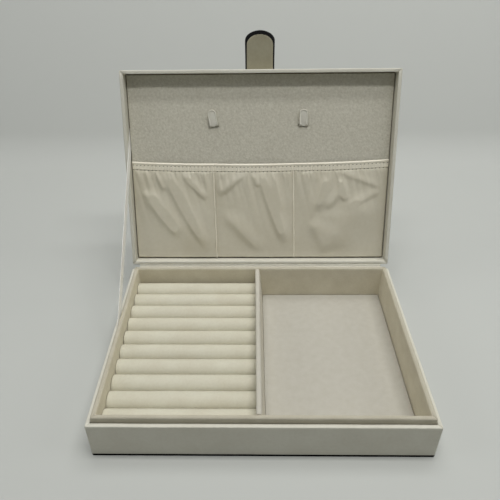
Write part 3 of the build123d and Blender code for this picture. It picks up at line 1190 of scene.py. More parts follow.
@dataclass
class Tray:
    """Velvet tray: padded lip and walls, floor pad and divider."""

    lip_round: float = 1.45 * MM
    corner: float = 0.9 * MM
    mitre_depth: float = 0.3 * MM
    softness: float = 0.06 * MM
    floor_edge: float = 0.4 * MM
    floor_tuck: float = 0.4 * MM
    floor_crown: float = 0.12 * MM
    divider_round: float = 1.7 * MM
    divider_end_round: float = 1.7 * MM
    divider_end_drop: float = 1.2 * MM
    divider_pinch: float = 0.25
    divider_lean: float = 3.2 * MM

    def lining(self) -> Piece:
        """Velvet over the tray's four boards, with a soft lip.

        Returns:
            The piece.
        """
        low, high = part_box("tray_lining")
        board_low, board_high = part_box("tray_left_board")
        pile = board_low.x - low.x
        wall = board_high.x - low.x + pile
        section = rounded_outline(
            [
                (0, low.z, 0),
                (0, high.z, self.lip_round),
                (wall, high.z, self.lip_round),
                (wall, low.z, 0),
                (wall - pile, low.z, 0),
                (wall - pile, high.z - pile, 0),
                (pile, high.z - pile, 0),
                (pile, low.z, 0),
            ],
            step=4 * MM,
        )
        ring = WallRing(high.x, high.y, self.corner)
        points, faces = ring.sweep(section, self.mitre_depth, high.z)
        return make_piece("tray_lining_velvet", uneven(points, self.softness, size=35 * MM, seed=23), faces)

    def floor(self) -> Piece:
        """Velvet-covered card on the floor of the right compartment.

        Returns:
            The piece.
        """
        low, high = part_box("floor_velvet")
        low.x -= self.floor_tuck
        points, faces = soft_slab(
            low, high, self.floor_edge, 4 * MM,
            lambda a, b: self.floor_crown * hills(a, b, size=60 * MM, seed=5),
        )
        return make_piece("floor_velvet_pad", points, faces)

    def divider(self) -> Piece:
        """Cloth over the leaning divider, rounded along its top and drawn in at its two ends.

        Returns:
            The piece.
        """
        low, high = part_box("divider_cover")
        half = (high.x - low.x - self.divider_lean) / 2
        height = high.z - low.z
        section = rounded_outline(
            [
                (-half, 0, 0),
                (half, 0, 0),
                (half, height, self.divider_round),
                (-half, height, self.divider_round),
            ],
            step=3 * MM,
            arc_steps=7,
        )
        up = section[:, 1] / height
        middle = low.x + half + self.divider_lean * (1 - up)
        ends = self.divider_end_round * (1 - np.cos(np.linspace(0, math.pi / 2, 6)))
        inner = np.linspace(low.y + self.divider_end_round, high.y - self.divider_end_round, 42)
        stations = np.concatenate([low.y + ends[:-1], inner, high.y - ends[:-1][::-1]])
        rings = []
        for station in stations:
            past = self.divider_end_round - min(station - low.y, high.y - station, self.divider_end_round)
            drawn_in = 1 - math.sqrt(1 - (past / self.divider_end_round) ** 2)
            across = section[:, 0] * (1 - self.divider_pinch * drawn_in) + middle
            level = low.z + section[:, 1] - self.divider_end_drop * drawn_in * smooth_step(up * 2 - 1)
            rings.append(np.column_stack([across, np.full(len(section), station), level]))
        points = uneven(np.concatenate(rings), self.softness, size=40 * MM, seed=31)
        return make_piece(
            "divider_cloth_cover", points, capped_tube(len(rings), len(section), clockwise=True)
        )

    def build(self) -> None:
        """Makes and dresses every piece of the tray."""
        settle(self.lining(), LINING_VELVET_PAINTED_LIGHT_AND_SHADE, Body.BASE, "tray_lining")
        settle(self.floor(), TRAY_VELVET, Body.BASE, "floor_velvet")
        settle(self.divider(), DIVIDER_CLOTH, Body.BASE, "divider_cover")
        dress(CARD, *(f"tray_{place}_board" for place in ("front", "back", "left", "right")))
        dress(CARD, "floor_card", "divider_board")


@dataclass
class RingRolls:
    """Stuffed velvet rolls side by side on their foam bed."""

    end_round: float = 0.35 * MM
    end_press: float = 1.0 * MM
    unevenness: float = 0.35 * MM
    fill: float = 0.9
    seed_step: float = 0.37

    def build(self) -> None:
        """Makes one piece for each roll of the frame and dresses the bed."""
        tree = roll_tree()
        names = sorted(name for name in frame["nodes"] if name.startswith("ring_roll_"))
        for index, node in enumerate(names):
            low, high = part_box(node)
            radius = (high.y - low.y) / 2
            axis = Vector((low.x, (low.y + high.y) / 2, high.z - radius))
            values = {
                "Length": high.x - low.x + self.end_press,
                "Radius": radius,
                "End Round": self.end_round,
                "Foot": axis.z - low.z,
                "Unevenness": self.unevenness,
                "Seed": (self.seed_step * index, 0.0, 0.0),
                "Material": ROLL_VELVET.material(),
            }
            start = bpy.data.meshes.new(node + "_start")
            roll = bake_nodes(f"ring_roll_velvet_{index + 1:02d}", tree, values, start)
            roll.data.transform(Matrix.Translation(axis))
            settle(roll, ROLL_VELVET, Body.BASE, node)
        dress(FOAM, "roll_bed")


@dataclass
class LidShell:
    """Leatherette shell of the lid, with its boards."""

    lid: LidFrame
    corner: float = 1.0 * MM
    rim_round: float = 0.8 * MM
    mitre_depth: float = 0.3 * MM
    softness: float = 0.05 * MM
    cap_inset: float = 70 * MM

    def wrap(self) -> Piece:
        """Skin over the lid's inner walls, its rim, its sides and its outer face.

        Returns:
            The piece.
        """
        low, high = self.lid.shut_box("lid_wrap")
        board_low, board_high = self.lid.shut_box("lid_left_board")
        skin = board_low[0] - low[0]
        wall = board_high[0] - low[0] + skin
        rim, top = low[2], high[2]
        seat = self.lid.shut_box("lid_top_board")[0][2]
        far = self.cap_inset
        section = rounded_outline(
            [
                (far, top - skin, 0),
                (skin, top - skin, 0),
                (skin, rim + skin, 0),
                (wall - skin, rim + skin, 0),
                (wall - skin, seat, 0),
                (wall, seat, 0),
                (wall, rim, rim_inner_round(self.rim_round)),
                (0, rim, self.rim_round),
                (0, top, self.rim_round),
                (far, top, 0),
            ],
            step=14 * MM,
        )
        ring = WallRing(high[0], high[1], self.corner)
        points, _ = ring.sweep(section, -self.mitre_depth, rim)
        points = self.lid.opened(uneven(points, self.softness, size=60 * MM, seed=17))
        return make_piece("lid_leatherette", points, capped_tube(len(section), len(ring.mitres())))

    def build(self) -> None:
        """Makes and dresses every piece of the shell."""
        settle(self.wrap(), CREAM, Body.LID, "lid_wrap")
        dress(FIBREBOARD, *(f"lid_{place}_board" for place in ("top", "front", "back", "left", "right")))


@dataclass
class LidLining:
    """Suede panel in the lid and the two cloth hooks that come out of its slits."""

    lid: LidFrame
    foot_gap: float = 0.5 * MM
    edge: float = 0.35 * MM
    waviness: float = 0.10 * MM
    slit_play: float = 0.4 * MM
    slit_width: float = 1.5 * MM
    slit_depth: float = 1.2 * MM
    hook_width: float = 7.7 * MM
    hook_length: float = 13.7 * MM
    hook_thickness: float = 1.3 * MM
    hook_standoff: float = 1.3 * MM
    hook_border: float = 1.15 * MM
    hook_recess: float = 0.5 * MM
    hook_bend: float = 1.4 * MM
    hook_root: float = 4.2 * MM
    hook_turns: tuple[float, float] = (8.4, 0.0)
    hook_fill: float = 1.0

    def slit_place(self, side: Side) -> tuple[np.ndarray, float]:
        """Where a hook's slit is.

        Args:
            side: The hook's side.

        Returns:
            The slit's middle on the lining, and the hook's turn in radians.
        """
        low, high = self.lid.face_box("necklace_hook_" + side.value)
        turn = math.radians(self.hook_turns[list(Side).index(side)])
        lean = self.hook_length / 2 * math.sin(turn)
        foot = low[1] + self.hook_width / 2 * math.sin(turn)
        return np.array([(low[0] + high[0]) / 2 + lean, foot, 0.0]), turn

    def at_slit(self, points: np.ndarray, side: Side) -> np.ndarray:
        """Points drawn about a slit's middle, moved to it and turned with the hook.

        Args:
            points: The points, as x, distance along the lid and height.
            side: The hook's side.

        Returns:
            The points on the lining.
        """
        middle, turn = self.slit_place(side)
        cos, sin = math.cos(turn), math.sin(turn)
        a, b, c = points.T
        return np.column_stack([a * cos - b * sin, a * sin + b * cos, c]) + middle

    def panel(self) -> Piece:
        """Suede over its board, with a rolled edge and a slit for each hook.

        Returns:
            The piece.
        """
        low, high = self.lid.face_box("lid_panel_suede")
        low[1] += self.foot_gap
        points, faces = soft_slab(
            low, high, self.edge, 3 * MM, lambda a, b: self.waviness * hills(a, b, size=45 * MM, seed=3)
        )
        panel = make_piece("lid_suede_panel", self.lid.on_face(points), faces)
        for side in Side:
            half = self.hook_width / 2 + self.slit_play
            corners = [-half, -self.slit_play, -self.slit_depth], [half, self.slit_width, self.slit_depth]
            points, faces = soft_slab(*corners, 0.1 * MM, self.hook_width, lambda a, b: 0 * a)
            cutter = make_piece("slit_cutter", self.lid.on_face(self.at_slit(points, side)), faces)
            cut = panel.modifiers.new("slit", "BOOLEAN")
            cut.operation, cut.solver, cut.object = "DIFFERENCE", "EXACT", cutter
            graph = bpy.context.evaluated_depsgraph_get()
            panel.data = bpy.data.meshes.new_from_object(panel.evaluated_get(graph), depsgraph=graph)
            panel.modifiers.clear()
            bpy.data.objects.remove(cutter)
        return panel

    def tongue_loop(self, inset: float) -> np.ndarray:
        """Outline of a hook: flat foot, straight sides, round tip.

        Args:
            inset: How far the outline is drawn in.

        Returns:
            Its points, as across and along.
        """
        half, foot = self.hook_width / 2 - inset, inset - self.hook_root
        shoulder = self.hook_length - self.hook_width / 2
        across = np.linspace(-half, half, 7)[:-1]
        up = np.linspace(foot, shoulder, 22)[:-1]
        turn = np.linspace(0, math.pi, 18)
        parts = [
            np.column_stack([across, np.full(len(across), foot)]),
            np.column_stack([np.full(len(up), half), up]),
            np.column_stack([half * np.cos(turn), shoulder + half * np.sin(turn)]),
            np.column_stack([np.full(len(up), -half), up[::-1]])[:-1],
        ]
        return np.concatenate(parts)

    def hook(self, side: Side) -> Piece:
        """Cloth tongue with a raised border, bent into its slit.

        Args:
            side: The hook's side.

        Returns:
            The piece.
        """
        top = self.hook_thickness / 2
        steps = [
            (0.25 * MM, -top),
            (0.0, -top + 0.3 * MM),
            (0.0, top - 0.35 * MM),
            (0.3 * MM, top),
            (self.hook_border - 0.2 * MM, top - 0.06 * MM),
            (self.hook_border + 0.15 * MM, top - self.hook_recess),
            (self.hook_border + 0.9 * MM, top - self.hook_recess + 0.05 * MM),
        ]
        outlines = [(self.tongue_loop(inset), level) for inset, level in steps]
        loops = [np.column_stack([outline, np.full(len(outline), level)]) for outline, level in outlines]
        across, along, height = np.concatenate(loops).T
        angle = np.clip(-along / self.hook_bend, 0, math.pi / 2)
        below = np.maximum(-along - self.hook_bend * math.pi / 2, 0)
        radius = self.hook_bend + height
        up = np.where(along < 0, -radius * np.sin(angle), along) + self.hook_bend + top
        off = np.where(along < 0, radius * np.cos(angle) - self.hook_bend - below, height)
        bent = np.column_stack([across, up, self.hook_standoff + top + off])
        placed = self.lid.on_face(self.at_slit(bent, side))
        return make_piece("necklace_hook_cloth_" + side.value, placed, capped_tube(len(loops), len(loops[0])))

    def build(self) -> None:
        """Makes and dresses the panel and the hooks."""
        settle(self.panel(), SUEDE, Body.LID, "lid_panel_suede")
        dress(CARD, "lid_panel_board")
        for side in Side:
            hook = settle(self.hook(side), HOOK_CLOTH, Body.LID, "necklace_hook_" + side.value)


@dataclass(frozen=True)
class Fold:
    """Fold of cloth along a line on the lid's face, steep on its lower side and easy on its upper one."""

    start: tuple[float, float]
    end: tuple[float, float]
    width: float
    height: float
    steep: float = 0.75
    easy: float = 1.35
    run_out: float = 0.4

    def rise(self, x: np.ndarray, reach: np.ndarray) -> np.ndarray:
        """Height that the fold adds.

        Args:
            x: Places across the lid.
            reach: Their distances from the lid's rear edge.

        Returns:
            The height at each place.
        """
        line_x, line_reach = self.end[0] - self.start[0], self.end[1] - self.start[1]
        length = math.hypot(line_x, line_reach)
        off_x, off_reach = x - self.start[0], reach - self.start[1]
        along = (off_x * line_x + off_reach * line_reach) / length**2
        aside = (off_x * line_reach - off_reach * line_x) / length
        ends = smooth_step(along / self.run_out + 0.5) * smooth_step((1 - along) / self.run_out + 0.5)
        widths = np.where(aside > 0, self.steep * self.width, self.easy * self.width)
        return self.height * bell(aside, widths) * ends


# Each fold's start and end, as x and distance from the lid's rear edge, then its width and height, in mm
POCKET_FOLDS = tuple(
    Fold((x0 * MM, reach0 * MM), (x1 * MM, reach1 * MM), width * MM, height * MM)
    for x0, reach0, x1, reach1, width, height in (
        (-107.3, 66.0, -80.5, 30.2, 7.0, 1.9),
        (-87.7, 84.4, -55.9, 20.0, 5.5, 2.1),
        (-70.9, 86.5, -53.6, 66.0, 3.2, 1.4),
        (-97.0, 87.0, -92.0, 74.0, 2.2, 1.1),
        (-37.0, 70.0, -17.7, 86.5, 4.0, 1.4),
        (-6.0, 86.5, -2.0, 77.0, 1.8, 1.2),
        (2.0, 83.4, 22.2, 25.1, 5.0, 2.4),
        (12.1, 86.5, 18.9, 55.8, 3.0, 1.3),
        (-30.5, 45.6, -1.9, 14.9, 7.0, 1.3),
        (75.4, 89.6, 112.0, 76.0, 3.0, 0.8),
        (61.7, 83.4, 54.6, 55.8, 4.5, 1.5),
        (75.6, 81.4, 80.8, 63.0, 3.6, 1.4),
        (98.0, 60.0, 70.0, 22.0, 12.0, 1.6),
        (84.0, 56.0, 112.0, 70.0, 4.0, 0.8),
        (65.9, 56.5, 79.2, 74.6, 4.0, 1.0),
        (-112.0, 70.0, -98.0, 62.0, 3.5, 0.7),
        (52.0, 40.0, 66.0, 12.0, 8.0, 1.3),
    )
)


@dataclass
class Pocket:
    """Gathered satin pocket: cloth in three bays, elastic hem with two stitch rows, two piped seams."""

    lid: LidFrame
    hem_height: float = 8.3 * MM
    hem_middle: float = 97.7 * MM
    hem_tilt: float = 0.55 * MM
    hem_sag: float = 2.95 * MM
    hem_crown: float = 0.75 * MM
    hem_step: float = 0.36 * MM
    bead: float = 0.4 * MM
    bead_middle: float = 1.1 * MM
    bead_width: float = 0.85 * MM
    stitch_rows: tuple[float, float] = (3.1 * MM, 7.5 * MM)
    groove: float = 0.1 * MM
    groove_width: float = 0.45 * MM
    rib: float = 0.16 * MM
    rib_pitch: float = 1.45 * MM
    stitch_pitch: float = 3.6 * MM
    stitch_length: float = 1.5 * MM
    stitch_thickness: float = 0.5 * MM
    stitch_lift: float = 0.1 * MM
    bay_edges: tuple[tuple[float, float], ...] = (
        (0.25 * MM, 1.1 * MM),
        (0.4 * MM, 0.9 * MM),
        (0.7 * MM, 0.25 * MM),
    )
    elastic_width: float = 3.4 * MM
    elastic_thickness: float = 0.3 * MM
    swell: float = 1.8 * MM
    foot_swell: float = 0.35 * MM
    puff_reach: float = 6 * MM
    gather_reach: float = 20 * MM
    gather_depth: float = 2.4 * MM
    gather_lean: float = 0.25
    gather_widths: tuple[float, float] = (3.0 * MM, 9.0 * MM)
    gather_shares: tuple[float, float] = (0.5, 1.2)
    gather_margins: tuple[float, float] = (40 * MM, 10 * MM)
    gather_seed: int = 42
    fullness: tuple[float, float] = (0.015, 0.11)
    slack_length: float = 1.015
    hem_overlap: float = 0.3 * MM
    drift: float = 3.0 * MM
    fold_share: float = 0.45
    crimp_widths: tuple[float, float] = (1.0 * MM, 2.3 * MM)
    crimp_lengths: tuple[float, float] = (6 * MM, 22 * MM)
    crimp_heights: tuple[float, float] = (0.4 * MM, 1.1 * MM)
    crimp_leans: tuple[float, float] = (-0.3, 0.45)
    crimp_steps: tuple[float, float] = (2.5 * MM, 7 * MM)
    crimp_seed: int = 7
    cloth_thickness: float = 0.3 * MM
    height_limits: tuple[float, float] = (0.12 * MM, 4.2 * MM)
    seam_lean: tuple[tuple[float, float], ...] = ((-0.5 * MM, 1.1 * MM), (-1.3 * MM, 1.1 * MM))
    piping: float = 0.7 * MM
    piping_lift: float = 0.5 * MM
    piping_wander: float = 0.12 * MM
    foot_gap: float = 0.5 * MM
    cell: float = 1.7 * MM
    trial_scale: float = 10.0
    trial_frames: int = 40

    def __post_init__(self) -> None:
        """Reads the pocket's width, foot and seams from the frame."""
        low, high = self.lid.face_box("pocket_cloth")
        self.side, self.foot = high[0], low[1] + self.foot_gap
        boxes = [self.lid.face_box("pocket_seam_" + side.value) for side in Side]
        self.seams = [(low[0] + high[0]) / 2 for low, high in boxes]

    def hem_top(self, x: np.ndarray) -> np.ndarray:
        """Distance of the hem's sagging upper edge from the lid's rear edge."""
        share = x / self.side
        return self.hem_middle + self.hem_tilt * share + self.hem_sag * share**2

    def seam_x(self, index: int, up: np.ndarray) -> np.ndarray:
        """X of a seam at a share of the way up the pocket."""
        top, foot = self.seam_lean[index]
        return self.seams[index] + foot + (top - foot) * up

    def bay_bulge(self, share: np.ndarray) -> np.ndarray:
        """Part of the full swell at a share of the way across a bay."""
        return 1 - np.abs(2 * share - 1) ** 2.6

    def bay_seat(self, index: int, share: np.ndarray) -> np.ndarray:
        """Height that a bay's cloth has at its sewn edges, carried across it."""
        left, right = self.bay_edges[index]
        return left + (right - left) * share

    def gathers(self, x: np.ndarray, below: np.ndarray) -> np.ndarray:
        """Uneven pleats where the elastic draws the cloth together, of which wide ones run further down.

        Args:
            x: Places across the lid.
            below: Their distances below the hem.

        Returns:
            The height at each place.
        """
        draws = np.random.default_rng(self.gather_seed)
        before, after = self.gather_margins
        stops = [-self.side - before]
        while stops[-1] < self.side + after:
            stops.append(stops[-1] + draws.uniform(*self.gather_widths))
        widest = self.gather_widths[1]
        widths = np.diff(stops, append=stops[-1] + widest)
        heights = self.gather_depth * draws.uniform(*self.gather_shares, len(stops)) * widths / widest
        drifted = x - self.gather_lean * below
        place = np.clip(np.searchsorted(stops, drifted) - 1, 0, len(stops) - 1)
        share = np.clip((drifted - np.array(stops)[place]) / widths[place], 0, 1)
        fade = np.exp(-below / (self.gather_reach * widths[place] / widest))
        return heights[place] * np.sin(math.pi * share) ** 0.8 * fade

    def crimps(self, x: np.ndarray, below: np.ndarray) -> np.ndarray:
        """Sharp little pleats under the hem, which fan out and die away.

        Args:
            x: Places across the lid.
            below: Their distances below the hem.

        Returns:
            The height at each place.
        """
        draws = np.random.default_rng(self.crimp_seed)
        height = np.zeros_like(x)
        sizes = self.crimp_widths, self.crimp_lengths, self.crimp_heights, self.crimp_leans, self.crimp_steps
        start = -self.side
        while start < self.side:
            width, length, rise, lean, step = (draws.uniform(*limits) for limits in sizes)
            ridge = np.clip(1 - np.abs(x - start - lean * below) / width, 0, 1)
            height = np.maximum(height, rise * ridge * np.clip(1 - below / length, 0, 1))
            start += step
        return height

    def bay(self, index: int) -> tuple[np.ndarray, np.ndarray, int, int]:
        """One bay's cloth before it settles.

        Args:
            index: The bay's number, from the left.

        Returns:
            Its points on the lid's face, the same points of the slack flat cloth, and its rows and columns.
        """
        rows = round((self.hem_middle - self.hem_height - self.foot) / self.cell) + 1
        ups = np.linspace(0, 1, rows)
        left = self.seam_x(index - 1, ups) if index else np.full(rows, -self.side)
        right = self.seam_x(index, ups) if index < len(self.seams) else np.full(rows, self.side)
        columns = round((right - left).max() / self.cell) + 1
        share, up = (axis.ravel() for axis in np.meshgrid(np.linspace(0, 1, columns), ups))
        left, right = np.repeat(left, columns), np.repeat(right, columns)
        x = left + (right - left) * share
        top = self.hem_top(x) - self.hem_height + self.hem_overlap
        reach = self.foot + (top - self.foot) * up
        below = np.maximum(top - reach, 0)
        bulge = self.bay_bulge(share)
        puff = 1 - np.exp(-below / self.puff_reach)
        folds = sum(fold.rise(x, reach) for fold in POCKET_FOLDS)
        swell = self.foot_swell + (self.swell - self.foot_swell) * np.sin(up * math.pi / 2)
        loose = np.minimum(bulge * 3, 1) * puff
        height = self.bay_seat(index, share) + bulge * swell + loose * (self.gathers(x, below) + folds)
        middle = (left + right) / 2
        full = self.fullness[0] + (self.fullness[1] - self.fullness[0]) * up
        slack_x = middle + (x - middle) * (1 + full) + self.drift * up
        slack_reach = self.foot + (reach - self.foot) * self.slack_length
        slack = np.column_stack([slack_x, slack_reach, np.zeros_like(x)])
        return np.column_stack([x, reach, height]), slack, rows, columns

    def settled(self, points: np.ndarray, slack: np.ndarray, faces: Faces, held: list[int]) -> np.ndarray:
        """Cloth simulation: the slack cloth finds its folds between its sewn edges.

        Args:
            points: The start shape on the lid's face.
            slack: The cloth's own flat shape, fuller than the room it has.
            faces: Its faces.
            held: Numbers of the points that are sewn down.

        Returns:
            The points when the cloth has come to rest.
        """
        scene = bpy.context.scene
        mesh = bpy.data.meshes.new("cloth_trial")
        mesh.from_pydata((points * self.trial_scale).tolist(), [], faces)
        trial = bpy.data.objects.new("cloth_trial", mesh)
        scene.collection.objects.link(trial)
        trial.shape_key_add(name="start")
        flat = trial.shape_key_add(name="slack")
        flat.data.foreach_set("co", (slack * self.trial_scale).astype(np.float32).ravel())
        trial.vertex_groups.new(name="sewn").add(held, 1.0, "REPLACE")
        cloth = trial.modifiers.new("cloth", "CLOTH")
        given = cloth.settings
        given.vertex_group_mass = "sewn"
        given.rest_shape_key = flat
        given.quality = 8
        given.mass = 0.3
        given.tension_stiffness = given.compression_stiffness = 15
        given.shear_stiffness = 5
        given.bending_stiffness = 0.5
        given.air_damping = 4
        given.use_pressure = True
        given.uniform_pressure_force = 0.15
        given.effector_weights.gravity = 0
        cloth.point_cache.frame_end = self.trial_frames
        for number in range(1, self.trial_frames + 1):
            scene.frame_set(number)
        rest = np.zeros(3 * len(points), np.float32)
        shape = trial.evaluated_get(bpy.context.evaluated_depsgraph_get()).data
        shape.vertices.foreach_get("co", rest)
        scene.frame_set(1)
        bpy.data.objects.remove(trial)
        bpy.data.meshes.remove(mesh)
        return rest.reshape(-1, 3).astype(float) / self.trial_scale

    def creased(self, grid: np.ndarray) -> np.ndarray:
        """Presses the folds and the hem's little pleats into a bay's settled cloth.

        Args:
            grid: The cloth's rows and columns, with its place on the lid's face first.

        Returns:
            The same grid, creased.
        """
        x, reach = grid[..., 0], grid[..., 1]
        below = np.maximum(self.hem_top(x) - self.hem_height - reach, 0)
        loose = np.minimum(3 * self.bay_bulge(np.linspace(0, 1, grid.shape[1])), 1)
        folds = sum(fold.rise(x, reach) for fold in POCKET_FOLDS) * (1 - np.exp(-below / self.puff_reach))
        crimps = self.crimps(x, below) * (1 - np.exp(-below / MM))
        height = grid[..., 2] + loose * (self.fold_share * folds + crimps)
        grid[..., 2] = np.clip(height, *self.height_limits)
        return grid

    def cloth(self) -> Piece:
        """Satin of the three bays, from the foot up into the hem.

        Returns:
            The piece.
        """
        bays = [self.bay(index) for index in range(len(self.seams) + 1)]
        shape, flat = (np.concatenate([bay[part] for bay in bays]) for part in (0, 1))
        faces, held = [], []
        first = 0
        for _, _, rows, columns in bays:
            faces += [tuple(first + corner for corner in face) for face in grid_faces(rows, columns)]
            row, column = np.divmod(np.arange(rows * columns), columns)
            edge = (row == 0) | (row == rows - 1) | (column == 0) | (column == columns - 1)
            held += (first + np.flatnonzero(edge)).tolist()
            first += rows * columns
        shape = self.settled(shape, flat, faces, held)
        points, maps, faces = [], [], []
        first = start = 0
        for _, _, rows, columns in bays:
            grid = np.column_stack([shape, flat])[first : first + rows * columns].reshape(rows, columns, 6)
            grid = self.creased(refined(grid))
            points.append(grid[..., :3].reshape(-1, 3))
            maps.append(grid[..., 3:5].reshape(-1, 2))
            faces += [tuple(start + corner for corner in face) for face in grid_faces(*grid.shape[:2])]
            first += rows * columns
            start += len(points[-1])
        placed = self.lid.on_face(np.concatenate(points))
        piece = make_piece("pocket_satin_cloth", placed, faces, np.concatenate(maps), sharp=180)
        solid = piece.modifiers.new("cloth thickness", "SOLIDIFY")
        solid.thickness, solid.offset = self.cloth_thickness, 1.0
        return piece

    def hem_seat(self, x: np.ndarray) -> np.ndarray:
        """Height of the hem's rear face off the lining.

        Args:
            x: Places across the lid.

        Returns:
            The height at each place.
        """
        stops = [-self.side, *(self.seam_x(index, 1.0) for index in range(len(self.seams))), self.side]
        seat = np.zeros(len(x))
        for index, (start, end) in enumerate(zip(stops, stops[1:])):
            share = (x - start) / (end - start)
            height = self.bay_seat(index, share) + self.swell * self.bay_bulge(np.clip(share, 0, 1))
            seat = np.where((share >= 0) & (share <= 1), height, seat)
        return seat

    def hem_front(self, x: np.ndarray, down: np.ndarray) -> np.ndarray:
        """Height of the hem's front face off the lining.

        Args:
            x: Places across the lid.
            down: Their distances from the hem's upper edge.

        Returns:
            The height at each place.
        """
        share = 2 * down / self.hem_height - 1
        first, last = self.stitch_rows
        rolled = self.bead * bell(down - self.bead_middle, self.bead_width)
        grooves = self.groove * sum(bell(down - row, self.groove_width) for row in (first, last))
        between = smooth_step((down - first) / MM) * smooth_step((last - down) / MM)
        wander = 2 * hills(x, x, size=25 * MM, seed=2) + 0.5 * hills(x, down, size=6 * MM, seed=3)
        ribs = self.rib * np.sin(FULL_TURN * x / self.rib_pitch + wander) * (0.25 + 0.75 * between)
        full = 1 - share**8
        return self.hem_seat(x) + full * (self.hem_crown + rolled - grooves + ribs)

    def hem(self) -> Piece:
        """Folded hem over the elastic: rolled upper edge, fine ribs and two stitched grooves.

        Returns:
            The piece.
        """
        stations = np.linspace(-self.side, self.side, round(2 * self.side / self.hem_step))
        front = self.hem_height * (0.5 - 0.5 * np.cos(np.linspace(0, math.pi, 34)))
        down = np.concatenate([front, front[-2:0:-7]])
        count = len(down)
        x = np.repeat(stations, count)
        drop = np.tile(down, len(stations))
        rear = np.tile(np.arange(count) >= len(front), len(stations))
        height = np.where(rear, self.hem_seat(x), self.hem_front(x, drop))
        points = self.lid.on_face(np.column_stack([x, self.hem_top(x) - drop, height]))
        faces = capped_tube(len(stations), count)
        return make_piece("pocket_gathered_hem", points, faces, np.column_stack([x, drop]), sharp=180)

    def stitches(self) -> Piece:
        """Two rows of thread along the hem's grooves, dark with painted shade of the stitch dimples.

        Returns:
            The piece.
        """
        stations = np.linspace(-self.side + MM, self.side - MM, 260)
        lines, edges = [], []
        for row, down in enumerate(self.stitch_rows):
            height = self.hem_front(stations, np.full(len(stations), down)) + self.stitch_lift
            lines.append(self.lid.on_face(np.column_stack([stations, self.hem_top(stations) - down, height])))
            start = row * len(stations)
            edges += [(start + step, start + step + 1) for step in range(len(stations) - 1)]
        path = bpy.data.meshes.new("stitch_lines")
        path.from_pydata(np.concatenate(lines).tolist(), edges, [])
        values = {
            "Pitch": self.stitch_pitch,
            "Length": self.stitch_length,
            "Thickness": self.stitch_thickness,
            "Material": THREAD_AND_DIMPLE_SHADE.material(),
        }
        return bake_nodes("pocket_hem_stitches", stitch_tree(), values, path)

    def elastic(self) -> Piece:
        """Flat elastic inside the hem, between the two stitch rows.

        Returns:
            The piece.
        """
        stations = np.linspace(-self.side, self.side, 160)
        half_widths = np.full(len(stations), self.elastic_width / 2)
        points, faces = strip(stations, half_widths, self.elastic_thickness, 0.1 * MM, columns=3)
        across, along, level = points.T
        reach = self.hem_top(along) - sum(self.stitch_rows) / 2 + across
        height = self.hem_seat(along) + self.elastic_thickness + level
        placed = self.lid.on_face(np.column_stack([along, reach, height]))
        return make_piece("pocket_elastic_tape", placed, [face[::-1] for face in faces], points[:, :2])

    def seam(self, index: int, side: Side) -> Piece:
        """Piped ridge where the cloth is sewn to the lining between two bays.

        Args:
            index: The seam's number, from the left.
            side: Its side.

        Returns:
            The piece.
        """
        ups = np.linspace(0, 1, 60)
        arc = np.linspace(0, FULL_TURN, 13)[:-1]
        x = np.repeat(self.seam_x(index, ups), len(arc)) + np.tile(self.piping * np.cos(arc), len(ups))
        top = self.hem_top(self.seam_x(index, ups)) - self.hem_height + 2 * self.hem_overlap
        reach = np.repeat(self.foot + (top - self.foot) * ups, len(arc))
        sewn = max(self.bay_edges[index][1], self.bay_edges[index + 1][0])
        level = sewn + self.cloth_thickness + self.piping_lift
        height = np.tile(self.piping * np.sin(arc), len(ups)) + level
        wobble = self.piping_wander * hills(reach, reach, size=16 * MM, seed=60 + index)
        points = self.lid.on_face(np.column_stack([x + wobble, reach, np.maximum(height, 0.05 * MM)]))
        faces = capped_tube(len(ups), len(arc), clockwise=True)
        flat_map = np.column_stack([np.tile(self.piping * arc, len(ups)), reach])
        return make_piece("pocket_piping_" + side.value, points, faces, flat_map)

    def build(self) -> None:
        """Makes and dresses every piece of the pocket."""
        hem = settle(self.hem(), HEM_SATIN_PAINTED_LIGHT, Body.LID, "pocket_hem")
        stitches = settle(self.stitches(), THREAD_AND_DIMPLE_SHADE, Body.LID)
        elastic = settle(self.elastic(), ELASTIC, Body.LID, "pocket_elastic")
        seams = [
            settle(self.seam(index, side), HEM_SATIN_PAINTED_LIGHT, Body.LID, "pocket_seam_" + side.value)
            for index, side in enumerate(Side)
        ]
        cloth = settle(self.cloth(), SATIN, Body.LID, "pocket_cloth")


